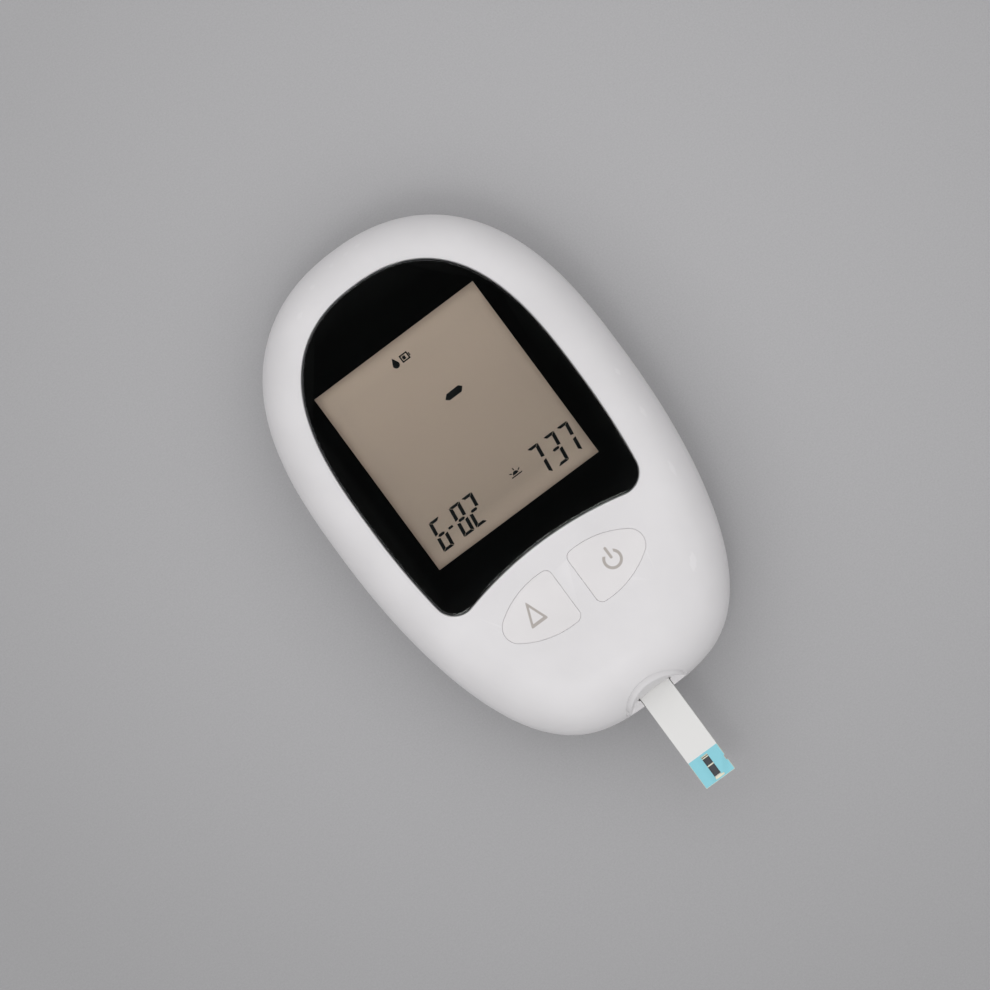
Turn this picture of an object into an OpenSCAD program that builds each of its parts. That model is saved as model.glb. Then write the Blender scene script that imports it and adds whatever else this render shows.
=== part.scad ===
// Blood glucose meter with a test strip in its port.
// Millimetres. +X is the meter's right, +Y its display end, +Z up.
// The origin is the middle of the body's footprint, on the plane it rests on.

/* [Body] */
// Width of the body at its widest line
body_w = 60; // [59:0.5:64]
// Length of the body, without the test strip
body_l = 94.5; // [94:0.5:102]
// Widest line, measured from the middle towards the display end
widest_y = 3.9; // [2:0.1:6]
// Height of the line where the two cases meet
part_z = 10.5; // [9.8:0.1:10.9]
// Wall thickness of the cases
wall = 1.8; // [1.5:0.1:2.1]
// Distance over which the top rolls down to the side
dome_inset = 11; // [9:0.5:12]
// Distance over which the base rolls up to the side
base_inset = 8.5; // [7:0.5:9.5]
// Depth of the fine groove along the meeting line
seam_groove = 0.25; // [0.1:0.05:0.4]
// Height of the lip that locks the cases together
lip_h = 1.0; // [0.7:0.1:1.3]

/* [Outline] */
// Fullness of the sides above the widest line
top_side_power = 2.82; // [2.4:0.02:3]
// Fullness of the display end
top_end_power = 2.22; // [2.1:0.02:2.5]
// Fullness of the sides below the widest line
low_side_power = 2.05; // [2:0.01:2.3]
// Fullness of the strip end
low_end_power = 3.25; // [2.6:0.05:3.4]
// Fullness of the rolled top edge
dome_power = 2.3; // [2:0.05:2.8]
// Fullness of the rolled base edge
base_power = 2.6; // [2:0.05:3]

/* [Display] */
// Width of white border between the lens and the body's edge
lens_inset = 7.75; // [7.2:0.05:8.5]
// Thickness of the lens
lens_t = 1.5; // [1:0.1:1.8]
// Height that the lens stands above the flat top
lens_proud = 0.15; // [0.05:0.05:0.3]
// Width of the bevel round the lens
lens_bevel = 0.45; // [0.2:0.05:0.6]
// Radius of the lens's two lower corners
lens_corner = 3.2; // [2.5:0.1:4]
// Radius of the lens's hollow lower edge
lens_arch_r = 66.8; // [60:0.2:80]
// Distance from the strip end to the middle of the lens's lower edge
lens_low = 32.65; // [31.9:0.05:33.5]
// Gap between the lens and its recess
lens_gap = 0.1; // [0.05:0.01:0.15]
// Distance from the body's side to the clear window
window_side = 13.15; // [12.95:0.05:15]
// Distance from the display end to the clear window
window_top = 19.35; // [19.15:0.05:21]
// Distance from the lens's lower edge to the clear window
window_low = 6.5; // [6:0.1:8]
// Thickness of the black adhesive film under the lens
film_t = 0.15; // [0.1:0.05:0.25]
// Thickness of the seat that the lens is bonded to
seat_t = 1.2; // [0.9:0.1:1.4]
// Thickness of the foam gasket over the display
gasket_t = 0.4; // [0.3:0.1:0.6]
// Width of the display's border that the case hides
lcd_border = 1.15; // [1.05:0.05:1.4]
// Height of the display's holder under the glass
holder_h = 0.8; // [0.7:0.1:1.4]
// Thickness of each glass plate
glass_t = 0.7; // [0.5:0.05:0.8]
// Thickness of the polariser and of the reflector
foil_t = 0.2; // [0.1:0.05:0.25]

/* [Buttons] */
// Distance from the middle line to each button
button_in = 1.85; // [1.6:0.05:2.2]
// Width of each button
button_w = 12.55; // [12:0.05:13]
// Length of each button
button_l = 10.3; // [9.8:0.1:10.8]
// Distance from the middle of the lens's lower edge to the buttons
button_low = 4.15; // [3.8:0.05:4.6]
// Radius of each button's two long sides
button_side_r = 16.2; // [15.5:0.1:17.5]
// Radius of each button's two inner corners
button_corner_r = 1.2; // [0.8:0.1:1.5]
// Gap round each button cap
button_gap = 0.15; // [0.1:0.01:0.2]
// Travel of each button
button_travel = 0.5; // [0.3:0.05:0.6]
// Width of the flange that holds a cap in
flange_w = 0.8; // [0.5:0.1:1]
// Thickness of that flange
flange_t = 0.8; // [0.6:0.1:0.9]
// Diameter of a cap's stem
stem_d = 3; // [2.4:0.1:3.4]
// Side of a switch
switch_w = 4.5; // [4:0.1:5]
// Height of a switch without its plunger
switch_h = 1.4; // [1.1:0.1:1.5]
// Diameter of a switch's plunger
plunger_d = 2.2; // [1.8:0.1:2.6]

/* [Test strip] */
// Width of the test strip
strip_w = 6; // [5:0.1:7]
// Length of the test strip
strip_l = 33; // [31:0.5:35]
// Length of strip that stands out of the slot
strip_out = 19.15; // [17:0.05:20]
// Thickness of the strip's base sheet
strip_base_t = 0.3; // [0.25:0.05:0.35]
// Thickness of the printed tracks
track_t = 0.05; // [0.04:0.01:0.08]
// Thickness of the spacer sheet
spacer_t = 0.15; // [0.1:0.01:0.2]
// Thickness of the cover sheets
cover_t = 0.1; // [0.08:0.01:0.15]
// Length of the coloured sampling zone at the tip
tip_l = 5.3; // [4.5:0.1:6]
// Width of the sampling channel
channel_w = 1.3; // [1:0.1:1.6]
// Clearance between the strip and its slot
strip_gap = 0.12; // [0.08:0.01:0.2]
// Radius of the rim of the port's scoop, in plan
scoop_r = 8.2; // [7.8:0.1:8.6]
// Distance from the body's end to the middle of that rim
scoop_in = 3.75; // [3.5:0.05:3.9]
// Width of the ledge inside the rim
scoop_ledge = 1.15; // [0.9:0.05:1.3]
// Distance from the body's end to the mouth of the slot
mouth_in = 1.65; // [1.4:0.05:1.8]

/* [Batteries] */
// Diameter of a cell
cell_d = 10.5; // [10.3:0.1:10.6]
// Length of a cell over its nub
cell_l = 44.5; // [44:0.1:44.8]
// Clearance round a cell
cell_gap = 0.3; // [0.2:0.05:0.35]
// Length of a compressed contact spring
spring_l = 4.4; // [3.8:0.1:4.8]
// Wire of a contact spring
spring_wire = 0.7; // [0.5:0.05:0.8]
// Thickness of the contact plates
plate_t = 0.3; // [0.2:0.05:0.4]
// Middle of the battery compartment
cells_y = 8.5; // [7.5:0.1:9.5]
// Thickness of the battery door
door_t = 1.6; // [1.4:0.1:1.8]
// Width of the battery door
door_w = 30; // [29:0.5:31]
// Gap round the battery door
door_gap = 0.15; // [0.1:0.05:0.25]
// Distance that the door slides before it lifts off
door_travel = 4; // [3:0.1:4.5]

/* [Board and screws] */
// Thickness of the circuit board
board_t = 1.0; // [0.8:0.1:1.2]
// Shank diameter of the case screws
screw_d = 2; // [1.6:0.1:2.2]
// Length of the case screws
screw_l = 9; // [7.5:0.1:9.5]
// Head diameter of the case screws
head_d = 4; // [3.6:0.1:4.2]
// Height of a screw head
head_h = 1.3; // [1:0.1:1.5]
// Shank diameter of the board screws
board_screw_d = 1.6; // [1.4:0.1:1.7]
// Length of the board screws
board_screw_l = 3.2; // [2.6:0.1:3.6]

/* [Hidden] */

eps = 0.01;
over = 1;            // how far a cut runs past the face it starts from
ring_n = 96;         // points round the body
inner_n = 64;        // points round the hollow inside
dome_steps = 10;     // rings up the rolled edges
inner_steps = 6;
arc_fn = 48;
play = 0.1;          // assembly clearance between fixed pieces

// Outline of the body
half_w = body_w / 2;
half_l = body_l / 2;
top_l = half_l - widest_y;
low_l = half_l + widest_y;

// Levels, from the base up
cell_z = door_t + cell_gap + cell_d / 2;
roof_z = cell_z + cell_d / 2 + cell_gap;
roof_t = 0.8;
board_z = roof_z + roof_t + play;
board_top = board_z + board_t;
reflector_z = board_top + holder_h;
rear_glass_z = reflector_z + foil_t;
front_glass_z = rear_glass_z + glass_t;
lcd_top = front_glass_z + glass_t + foil_t;
seat_z = lcd_top + gasket_t;
film_z = seat_z + seat_t;
lens_z = film_z + film_t;
lens_top = lens_z + lens_t;
body_h = lens_top - lens_proud;
ceiling_z = body_h - wall;

// Test strip and its port
strip_t = strip_base_t + track_t + spacer_t + cover_t;
strip_z = board_z - 1.9;
slot_z = strip_z - strip_gap;
slot_h = strip_t + 2 * strip_gap;
slot_w = strip_w + 2 * strip_gap;
mouth_y = -half_l + mouth_in;
strip_y0 = mouth_y - strip_out;
strip_y1 = strip_y0 + strip_l;
scoop_y = -half_l + scoop_in - scoop_r;
scoop_half = scoop_r * 0.853;    // half width of the scoop, just past the body's edge
mouth_r = 34;                    // radius of the foot of the scoop's wall
sill_z = slot_z + 0.6;           // floor of the scoop on both sides of the strip
port_wall_y = -half_l + 4.7;
port_w = 12.6;
port_y0 = port_wall_y + play;
port_l = 13;
port_floor = 1.7;
contact_n = 5;
contact_pitch = 1.15;
contact_w = 0.6;
contact_t = 0.2;
contact_gap = 0.04;
contact_in = 3;      // free end, in from the port's face
contact_lead = 1.6;  // slope that the strip lifts
contact_flat = 0.6;  // part that presses on the tracks
contact_held = 2;    // part that the port's back holds
contact_tail = 1.6;  // tail soldered under the board
contact_tail_y = port_y0 + port_l + contact_tail;

// Display, from the window that shows down to the board that carries it
lens_low_y = -half_l + lens_low;
lens_arch_y = lens_low_y - lens_arch_r;
window_w = body_w - 2 * window_side;
window_y0 = lens_low_y + window_low;
window_y1 = half_l - window_top;
seat_rim = 1.5;
case_window = 0.8;
lcd_ledge = 3;
lcd_w = window_w + 2 * lcd_border;
lcd_y0 = window_y0 - lcd_ledge - lcd_border - 0.25;
lcd_y1 = window_y1 + lcd_border + 0.45;
frame_wall = 0.9;
zebra_w = 2;
board_w = lcd_w + 2 * (play + frame_wall);
peg_r = 0.55;
peg_x = lcd_w / 2 - 1;
peg_end = 4;
peg_ys = [lcd_y0 + 2 * peg_end, lcd_y1 - peg_end];

// Buttons: each is a leaf with two long arcs, on the right-hand side and the same above and below button_y
button_y = lens_low_y - button_low - button_l / 2;
button_crown = 2.1;      // where the leaf is longest, in from its straight side
side_y = button_l / 2 - button_side_r;
side_x = button_in + button_crown;
tip_reach = button_w - button_crown;
tip_r = (pow(button_side_r, 2) - pow(side_y, 2) - pow(tip_reach, 2)) / (2 * button_side_r - 2 * tip_reach);
tip_x = button_in + button_w - tip_r;
corner_x = button_in + button_corner_r;
corner_y = side_y + sqrt(pow(button_side_r - button_corner_r, 2) - pow(corner_x - side_x, 2));
switch_x = button_in + button_w * 0.49;
switch_y = button_y;
plunger_z = board_top + switch_h;
flange_z = ceiling_z - 0.05 - flange_t;
stem_z = plunger_z + button_travel + 0.1;

// Batteries and door
cell_pitch = cell_d + 2 * cell_gap;
bay_w = 2 * cell_d + 4 * cell_gap;
bay_l = cell_l + spring_l + 2 * plate_t;
bay_wall = 1.2;
bay_y0 = cells_y - bay_l / 2;
bay_y1 = cells_y + bay_l / 2;
ledge_t = 1.5;
ledge_z = door_t + 0.05;
ledge_top = ledge_z + ledge_t;
door_y0 = bay_y0 - 4;
hook_x = bay_w / 2 + bay_wall + 1.0;
hook_w = 1.4;
hook_l = 2;
hook_foot = door_travel - 0.6;
hook_t = 0.9;
hook_ys = [bay_y0 + 4, cells_y, bay_y1 - 6];
spring_wide = 3.9;
spring_narrow = 2.5;
spring_turns = 3;
plate_w = cell_d - 1;
plate_gap = 1.2;
tab_w = 3;

// Screws
screw_side = 8.2;
screw_rise = 20.1;
low_screw_side = 12.5;
low_screw_end = 16.2;
screw_xy = [
    [half_w - screw_side, widest_y + screw_rise], [-half_w + screw_side, widest_y + screw_rise],
    [half_w - low_screw_side, -half_l + low_screw_end], [-half_w + low_screw_side, -half_l + low_screw_end]
];
boss_r = 2.6;
rear_boss_r = 3;
head_seat = 4;
rear_boss_top = 6;
boss_z = rear_boss_top + play;
board_post_r = 1.8;
board_screw_x = board_w / 2 - board_post_r - 0.2;
board_screw_y = lcd_y0 - 7.1;
board_screw_xy = [
    [board_screw_x, board_screw_y], [-board_screw_x, board_screw_y],
    [0, bay_y1 + bay_wall + board_post_r + 1.2]
];
board_head_d = 3;
board_head_h = 0.9;

// Board, and what stands on it or hangs under it
board_neck_x = screw_xy[2].x - boss_r - 0.4;
board_neck_y = screw_xy[2].y + boss_r;
board_shoulder_y = screw_xy[2].y + 6;
chip_w = 7;
chip_h = 1.1;
chip_leads = 8;
chip_pitch = 0.7;
chip_y = (port_y0 + contact_tail_y) / 2;
parts_x = chip_w / 2 + 6.1;
parts_y = chip_y - 2.2;
parts_pitch = 1.9;
resistor_y = parts_y + 3.9;
resistor = [0.8, 1.6, 0.7];
crystal = [5, 2, 1.2];
capacitor_r = 1.6;
buzzer_y = (bay_y0 - bay_wall + contact_tail_y) / 2;
buzzer_gap = 0.8;
buzzer_r = buzzer_y - contact_tail_y - buzzer_gap;
buzzer_h = 3.5;

// ---------- outline and lofts ----------

// Bunches the points less at the ends of each quarter
function ease(f) = f - 0.5 * sin(360 * f) / (2 * PI);

// Right-hand outline: s = 0 at the display end, 1 at the widest line, 2 at the strip end
function edge_xy(s) =
    s <= 1
    ? let (a = 90 * ease(s))
        [half_w * pow(sin(a), 2 / top_end_power), widest_y + top_l * pow(cos(a), 2 / top_side_power)]
    : let (a = 90 * ease(s - 1))
        [half_w * pow(cos(a), 2 / low_end_power), widest_y - low_l * pow(sin(a), 2 / low_side_power)];

// Outward normal of the outline at s
function edge_normal(s) =
    let (
        p = edge_xy(s),
        end_power = s <= 1 ? top_end_power : low_end_power,
        side_power = s <= 1 ? top_side_power : low_side_power,
        len = s <= 1 ? top_l : low_l,
        up = s <= 1 ? 1 : -1,
        nx = end_power / half_w * pow(max(p.x, 0) / half_w, end_power - 1),
        ny = up * side_power / len * pow(abs(p.y - widest_y) / len, side_power - 1)
    )
    [nx, ny] / norm([nx, ny]);

// Point at s, moved inwards by d
function edge_in(s, d) = edge_xy(s) - d * edge_normal(s);

// Body outline moved inwards by d, n points, from the display end round by the left
function body_ring(d, n = ring_n) = [
    for (k = [0:n - 1])
        let (left = k <= n / 2, p = edge_in(4 * (left ? k : n - k) / n, d))
        [(left ? -1 : 1) * p.x, p.y]
];

// Where the lens's side meets its lower corner: the corner's centre lies on both inner offsets
lens_hub = [0, lens_arch_y];
function corner_error(s) =
    norm(edge_in(s, lens_inset + lens_corner) - lens_hub) - lens_arch_r - lens_corner;
function corner_s(lo, hi, steps) =
    steps == 0 ? (lo + hi) / 2
    : let (mid = (lo + hi) / 2)
        corner_error(mid) > 0 ? corner_s(mid, hi, steps - 1) : corner_s(lo, mid, steps - 1);
lens_s = corner_s(1, 1.8, 30);
lens_c = edge_in(lens_s, lens_inset + lens_corner);

// Right half of the lens outline moved inwards by d, from the top to the middle of the lower edge
function lens_half(d) =
    let (
        n = edge_normal(lens_s),
        a0 = atan2(n.y, n.x),
        a1 = atan2(lens_hub.y - lens_c.y, -lens_c.x),
        b0 = atan2(lens_c.y - lens_hub.y, lens_c.x),
        r = lens_corner - d
    )
    concat(
        [for (k = [0:28]) edge_in(lens_s * k / 28, lens_inset + d)],
        [for (k = [1:8]) let (a = a0 + (a1 - a0) * k / 8) lens_c + r * [cos(a), sin(a)]],
        [for (k = [1:6]) let (b = b0 + (90 - b0) * k / 6)
            lens_hub + (lens_arch_r + d) * [cos(b), sin(b)]]
    );

function lens_ring(d) =
    let (h = lens_half(d), last = len(h) - 1)
    concat(
        [for (p = h) [-p.x, p.y]],
        [for (k = [last - 1:-1:1]) h[k]]
    );

// Solid through a stack of rings, each [points, height], from the lowest up.
// A point may have its own height.
module loft(rings) {
    n = len(rings[0][0]);
    m = len(rings);
    polyhedron(
        points = [for (r = rings) for (p = r[0]) [p.x, p.y, len(p) > 2 ? p.z : r[1]]],
        faces = concat(
            [[for (k = [0:n - 1]) k]],
            [for (i = [0:m - 2]) for (k = [0:n - 1])
                [i * n + k, (i + 1) * n + k, (i + 1) * n + (k + 1) % n]],
            [for (i = [0:m - 2]) for (k = [0:n - 1])
                [i * n + k, (i + 1) * n + (k + 1) % n, i * n + (k + 1) % n]],
            [[for (k = [n - 1:-1:0]) (m - 1) * n + k]]
        ),
        convexity = 6
    );
}

// Rings of a rolled edge: full width at z0, drawn in by `inset` at z0 + h
function roll(n, steps, start, inset, power, z0, h, first = 0) = [
    for (i = [first:steps])
        let (a = 90 * i / steps)
        [body_ring(start + inset * (1 - pow(cos(a), 2 / power)), n), z0 + h * pow(sin(a), 2 / power)]
];

function reversed(list) = [for (k = [len(list) - 1:-1:0]) list[k]];

module prism(points, z0, z1) {
    translate([0, 0, z0]) linear_extrude(z1 - z0) polygon(points);
}

// Box between two corners
module block(lo, hi) {
    translate(lo) cube(hi - lo);
}

module rod(x, y, z0, z1, r) {
    translate([x, y, z0]) cylinder(h = z1 - z0, r = r, $fn = arc_fn);
}

// ---------- cases ----------

module front_outer() {
    loft(concat(
        [[body_ring(seam_groove), part_z]],
        roll(ring_n, dome_steps, 0, dome_inset, dome_power, part_z, body_h - part_z, 1)
    ));
}

module front_hollow() {
    loft(concat(
        [[body_ring(wall, inner_n), part_z - over]],
        roll(inner_n, inner_steps, wall, dome_inset - wall, dome_power, part_z, ceiling_z - part_z)
    ));
}

// What stands inside the front case: lens seat, screw bosses, board posts and the port's wall
module front_inside() {
    prism(lens_ring(-seat_rim), seat_z, film_z);
    for (p = screw_xy) rod(p.x, p.y, part_z - 2 * over, body_h, boss_r);
    for (p = board_screw_xy) rod(p.x, p.y, board_top, film_z, board_post_r);
    block(
        [-port_w / 2 - 2.5, -half_l - over, part_z + lip_h + play],
        [port_w / 2 + 2.5, port_wall_y, body_h]
    );
}

function arc(c, r, a0, a1, steps) =
    [for (k = [1:steps]) let (a = a0 + (a1 - a0) * k / steps) c + r * [cos(a), sin(a)]];

// Outline of the right-hand button, grown by `grow`
function button_ring(grow) =
    let (
        a = atan2(-side_y, tip_x - side_x),
        b = atan2(corner_y - side_y, corner_x - side_x),
        half = concat(
            arc([tip_x, 0], tip_r + grow, 0, a, 6),
            arc([side_x, side_y], button_side_r + grow, a, b, 10),
            arc([corner_x, corner_y], button_corner_r + grow, b, 180, 5)
        )
    )
    concat(
        [for (p = half) [p.x, button_y + p.y]],
        [for (p = reversed(half)) [p.x, button_y - p.y]],
        [[tip_x + tip_r + grow, button_y]]
    );

module button_shape(grow) {
    polygon(button_ring(grow));
}

// Edge of the body at the strip end, and height of the top surface there
function end_y(x) =
    widest_y - low_l * pow(1 - pow(abs(x) / half_w, low_end_power), 1 / low_side_power);
function top_z(x, y) =
    let (d = min(max(y - end_y(x), 0), dome_inset))
    part_z + (body_h - part_z) * pow(1 - pow(1 - d / dome_inset, dome_power), 1 / dome_power);

// Ring of the scoop: points [x, y, z] along its wall, closed behind the body's edge
function scoop_ring(line) =
    let (y = -half_l - 2 * over, a = line[0], b = line[len(line) - 1])
    concat([[a.x, y, a.z]], line, [[b.x, y, b.z]]);

module scoop() {
    steps = 12;
    ledge_step = 0.8;
    xs = [for (k = [-steps:steps]) -scoop_half * sin(90 * k / steps)];
    rim = [for (x = xs) [x, scoop_y + sqrt(pow(scoop_r, 2) - x * x)]];
    ledge = [for (p = rim) [p.x, p.y - scoop_ledge]];
    rings = [
        [for (p = ledge)
            [p.x, min(mouth_y - mouth_r + sqrt(pow(mouth_r, 2) - p.x * p.x), p.y - eps), sill_z]],
        [for (p = ledge) [p.x, p.y, max(top_z(p.x, p.y) - 0.3, sill_z + 0.1)]],
        [for (p = rim) [p.x, p.y, max(top_z(p.x, p.y) - ledge_step, sill_z + 0.2)]],
        [for (p = rim) [p.x, p.y, body_h + over]]
    ];
    loft([for (r = rings) [scoop_ring(r), 0]]);
}

module front_case() {
    color([0.86, 0.855, 0.855]) difference() {
        union() {
            difference() {
                front_outer();
                difference() {
                    front_hollow();
                    front_inside();
                }
                prism(body_ring(wall / 2 - play / 2), part_z - over, part_z + lip_h + play);
            }
            for (p = screw_xy) rod(p.x, p.y, boss_z, part_z + 2 * lip_h, boss_r);
        }
        prism(lens_ring(-lens_gap), film_z, lens_top + over);
        block(
            [-window_w / 2 - case_window, window_y0 - case_window, seat_z - over],
            [window_w / 2 + case_window, window_y1 + case_window, film_z + over]
        );
        for (side = [0, 1]) mirror([side, 0, 0])
            translate([0, 0, ceiling_z - over]) linear_extrude(wall + 2 * over) button_shape(button_gap);
        scoop();
        block([-slot_w / 2, -half_l, slot_z], [slot_w / 2, port_wall_y + over, slot_z + slot_h]);
        for (p = screw_xy) rod(p.x, p.y, boss_z - over, seat_z - 1, screw_d * 0.42);
        for (p = board_screw_xy) rod(p.x, p.y, board_top - over, seat_z - 0.5, board_screw_d * 0.42);
    }
}

function base_rings() = reversed(roll(ring_n, dome_steps, 0, base_inset, base_power, 0, 1, 1));

module rear_outer() {
    loft(concat(
        [for (r = base_rings()) [r[0], part_z * (1 - r[1])]],
        [[body_ring(0), part_z - seam_groove], [body_ring(seam_groove), part_z]]
    ));
}

module rear_hollow() {
    depth = part_z - wall;
    loft(concat(
        [for (r = reversed(roll(inner_n, inner_steps, wall, base_inset - wall, base_power, 0, 1)))
            [r[0], part_z - depth * r[1]]],
        [[body_ring(wall, inner_n), part_z + over]]
    ));
}

module rear_inside() {
    block(
        [-bay_w / 2 - bay_wall, bay_y0 - bay_wall, -over],
        [bay_w / 2 + bay_wall, bay_y1 + bay_wall, part_z + 2 * over]
    );
    block([-door_w / 2 - 1.5, door_y0 - 1.5, -over], [door_w / 2 + 1.5, half_l, ledge_top]);
    for (p = screw_xy) rod(p.x, p.y, -over, rear_boss_top, rear_boss_r);
}

module rear_case() {
    color([0.84, 0.835, 0.835]) difference() {
        union() {
            difference() {
                rear_outer();
                difference() {
                    rear_hollow();
                    rear_inside();
                }
            }
            difference() {
                prism(body_ring(wall / 2 + play / 2), part_z - lip_h, part_z + lip_h);
                prism(body_ring(wall - play / 2), part_z - lip_h - over, part_z + lip_h + over);
            }
            block(
                [-bay_w / 2 - bay_wall, bay_y0 - bay_wall, part_z - lip_h],
                [bay_w / 2 + bay_wall, bay_y1 + bay_wall, roof_z + roof_t]
            );
        }
        block([-slot_w / 2 - 0.3, -half_l, slot_z], [slot_w / 2 + 0.3, port_wall_y, part_z + 2 * over]);
        block([-bay_w / 2, bay_y0, -over], [bay_w / 2, bay_y1, roof_z]);
        block(
            [-door_w / 2 - door_gap, door_y0 - door_gap, -over],
            [door_w / 2 + door_gap, half_l + over, ledge_z]
        );
        for (p = screw_xy) {
            rod(p.x, p.y, -over, head_seat, head_d / 2 + 0.3);
            rod(p.x, p.y, head_seat - over, rear_boss_top + over, screw_d / 2 + 0.2);
        }
        for (side = [-1, 1], y = hook_ys)
            block(
                [side * hook_x - hook_w / 2 - 0.2, y - 0.2, ledge_z - over],
                [side * hook_x + hook_w / 2 + 0.2, y + hook_l + door_travel + 0.2, ledge_top + over]
            );
        for (side = [-1, 1])
            block(
                [side * cell_pitch / 2 - tab_w / 2 - 0.2, bay_y0 - eps, roof_z - over],
                [side * cell_pitch / 2 + tab_w / 2 + 0.2, bay_y0 + plate_t + 0.4, roof_z + roof_t + over]
            );
    }
}

// The door is the slice of the base that its recess takes away, with hooks on its inner face
module battery_door() {
    color([0.84, 0.835, 0.835]) difference() {
        union() {
            intersection() {
                loft([for (r = base_rings()) if (1 - r[1] < 0.35) [r[0], part_z * (1 - r[1])]]);
                block([-door_w / 2, door_y0, -over], [door_w / 2, half_l, door_t]);
            }
            for (side = [-1, 1], y = hook_ys) {
                block(
                    [side * hook_x - hook_w / 2, y, door_t - 0.4],
                    [side * hook_x + hook_w / 2, y + hook_l, ledge_top + 0.1 + hook_t]
                );
                block(
                    [side * hook_x - hook_w / 2, y - hook_foot, ledge_top + 0.1],
                    [side * hook_x + hook_w / 2, y + eps, ledge_top + 0.1 + hook_t]
                );
            }
        }
        for (k = [0:4]) thumb_groove(bay_y1 - 3.5 + 2 * k);
    }
}

// One of the curved grooves that the thumb pushes on
module thumb_groove(y) {
    groove = 0.8;
    depth = 0.5;
    rise = 16;
    translate([0, y - rise, -over]) difference() {
        cylinder(h = over + depth, r = rise, $fn = 96);
        translate([0, 0, -over]) cylinder(h = 3 * over + depth, r = rise - groove, $fn = 96);
        block([-2 * rise, -2 * rise, -over], [2 * rise, rise - 2.6, 2 * over + depth]);
    }
}

// ---------- display ----------

module display_lens() {
    color([0.2, 0.2, 0.21, 0.35]) loft([
        [lens_ring(0), lens_z],
        [lens_ring(0), lens_top - lens_bevel],
        [lens_ring(lens_bevel * 0.3), lens_top - lens_bevel * 0.3],
        [lens_ring(lens_bevel), lens_top]
    ]);
}

// Black film with the clear window, which bonds the lens to its seat
module lens_film() {
    color([0.03, 0.03, 0.03]) difference() {
        prism(lens_ring(0), film_z, lens_z);
        block(
            [-window_w / 2, window_y0, film_z - over],
            [window_w / 2, window_y1, lens_z + over]
        );
    }
}

module display_gasket() {
    color([0.12, 0.12, 0.12]) difference() {
        block([-lcd_w / 2, lcd_y0 + lcd_ledge, lcd_top], [lcd_w / 2, lcd_y1, seat_z]);
        block(
            [-window_w / 2 - case_window, window_y0 - case_window, lcd_top - over],
            [window_w / 2 + case_window, window_y1 + case_window, seat_z + over]
        );
    }
}

module lcd_polariser() {
    color([0.57, 0.52, 0.47])
        block([-lcd_w / 2 + 0.1, lcd_y0 + lcd_ledge, lcd_top - foil_t], [lcd_w / 2 - 0.1, lcd_y1, lcd_top]);
}

module lcd_front_glass() {
    color([0.7, 0.75, 0.72, 0.5])
        block([-lcd_w / 2, lcd_y0, front_glass_z], [lcd_w / 2, lcd_y1, front_glass_z + glass_t]);
}

module lcd_rear_glass() {
    color([0.7, 0.75, 0.72, 0.5])
        block([-lcd_w / 2, lcd_y0 + lcd_ledge, rear_glass_z], [lcd_w / 2, lcd_y1, front_glass_z]);
}

module lcd_reflector() {
    color([0.6, 0.58, 0.54])
        block([-lcd_w / 2 + 0.1, lcd_y0 + lcd_ledge, reflector_z], [lcd_w / 2 - 0.1, lcd_y1, rear_glass_z]);
}

// Holder that carries the display on the board, with a channel for the elastomer strip
module lcd_frame() {
    rim = play + frame_wall;
    color([0.9, 0.9, 0.88]) difference() {
        union() {
            block(
                [-lcd_w / 2 - rim, lcd_y0 - rim, board_top],
                [lcd_w / 2 + rim, lcd_y1 + rim, lcd_top - 0.3]
            );
            for (x = [-peg_x, peg_x], y = peg_ys) rod(x, y, board_z + 0.2, board_top + eps, peg_r);
        }
        block([-lcd_w / 2 - play, lcd_y0 - play, reflector_z], [lcd_w / 2 + play, lcd_y1 + play, lcd_top]);
        block(
            [-lcd_w / 2 + 2.5, lcd_y0 + lcd_ledge + 1.2, board_top - over],
            [lcd_w / 2 - 2.5, lcd_y1 - 2, lcd_top]
        );
        block(
            [-lcd_w / 2 + 0.4, lcd_y0 + (lcd_ledge - zebra_w) / 2 - 0.05, board_top - over],
            [lcd_w / 2 - 0.4, lcd_y0 + (lcd_ledge + zebra_w) / 2 + 0.05, lcd_top]
        );
    }
}

module zebra_connector() {
    color([0.75, 0.45, 0.5])
        block(
            [-lcd_w / 2 + 0.5, lcd_y0 + (lcd_ledge - zebra_w) / 2, board_top],
            [lcd_w / 2 - 0.5, lcd_y0 + (lcd_ledge + zebra_w) / 2, front_glass_z]
        );
}

// ---------- board ----------

// Right half of the board's outline, from the display end down
board_half = [
    [board_w / 4, bay_y1 + 6.3], [board_w / 2, lcd_y1 + 1.5], [board_w / 2, board_shoulder_y],
    [board_neck_x, board_neck_y], [board_neck_x, port_y0 + 3.4], [board_neck_x - 3, port_y0 + 0.4]
];
board_outline = concat(board_half, [for (p = reversed(board_half)) [-p.x, p.y]]);

module main_board() {
    color([0.1, 0.4, 0.2]) difference() {
        prism(board_outline, board_z, board_top);
        for (p = board_screw_xy) rod(p.x, p.y, board_z - over, board_top + over, board_screw_d / 2 + 0.15);
        for (x = [-peg_x, peg_x], y = peg_ys) rod(x, y, board_z - over, board_top + over, peg_r + play);
        for (side = [-1, 1])
            block(
                [side * cell_pitch / 2 - tab_w / 2 - 0.2, bay_y0 - 0.2, board_z - over],
                [side * cell_pitch / 2 + tab_w / 2 + 0.2, bay_y0 + plate_t + 0.3, board_top + over]
            );
    }
}

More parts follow.
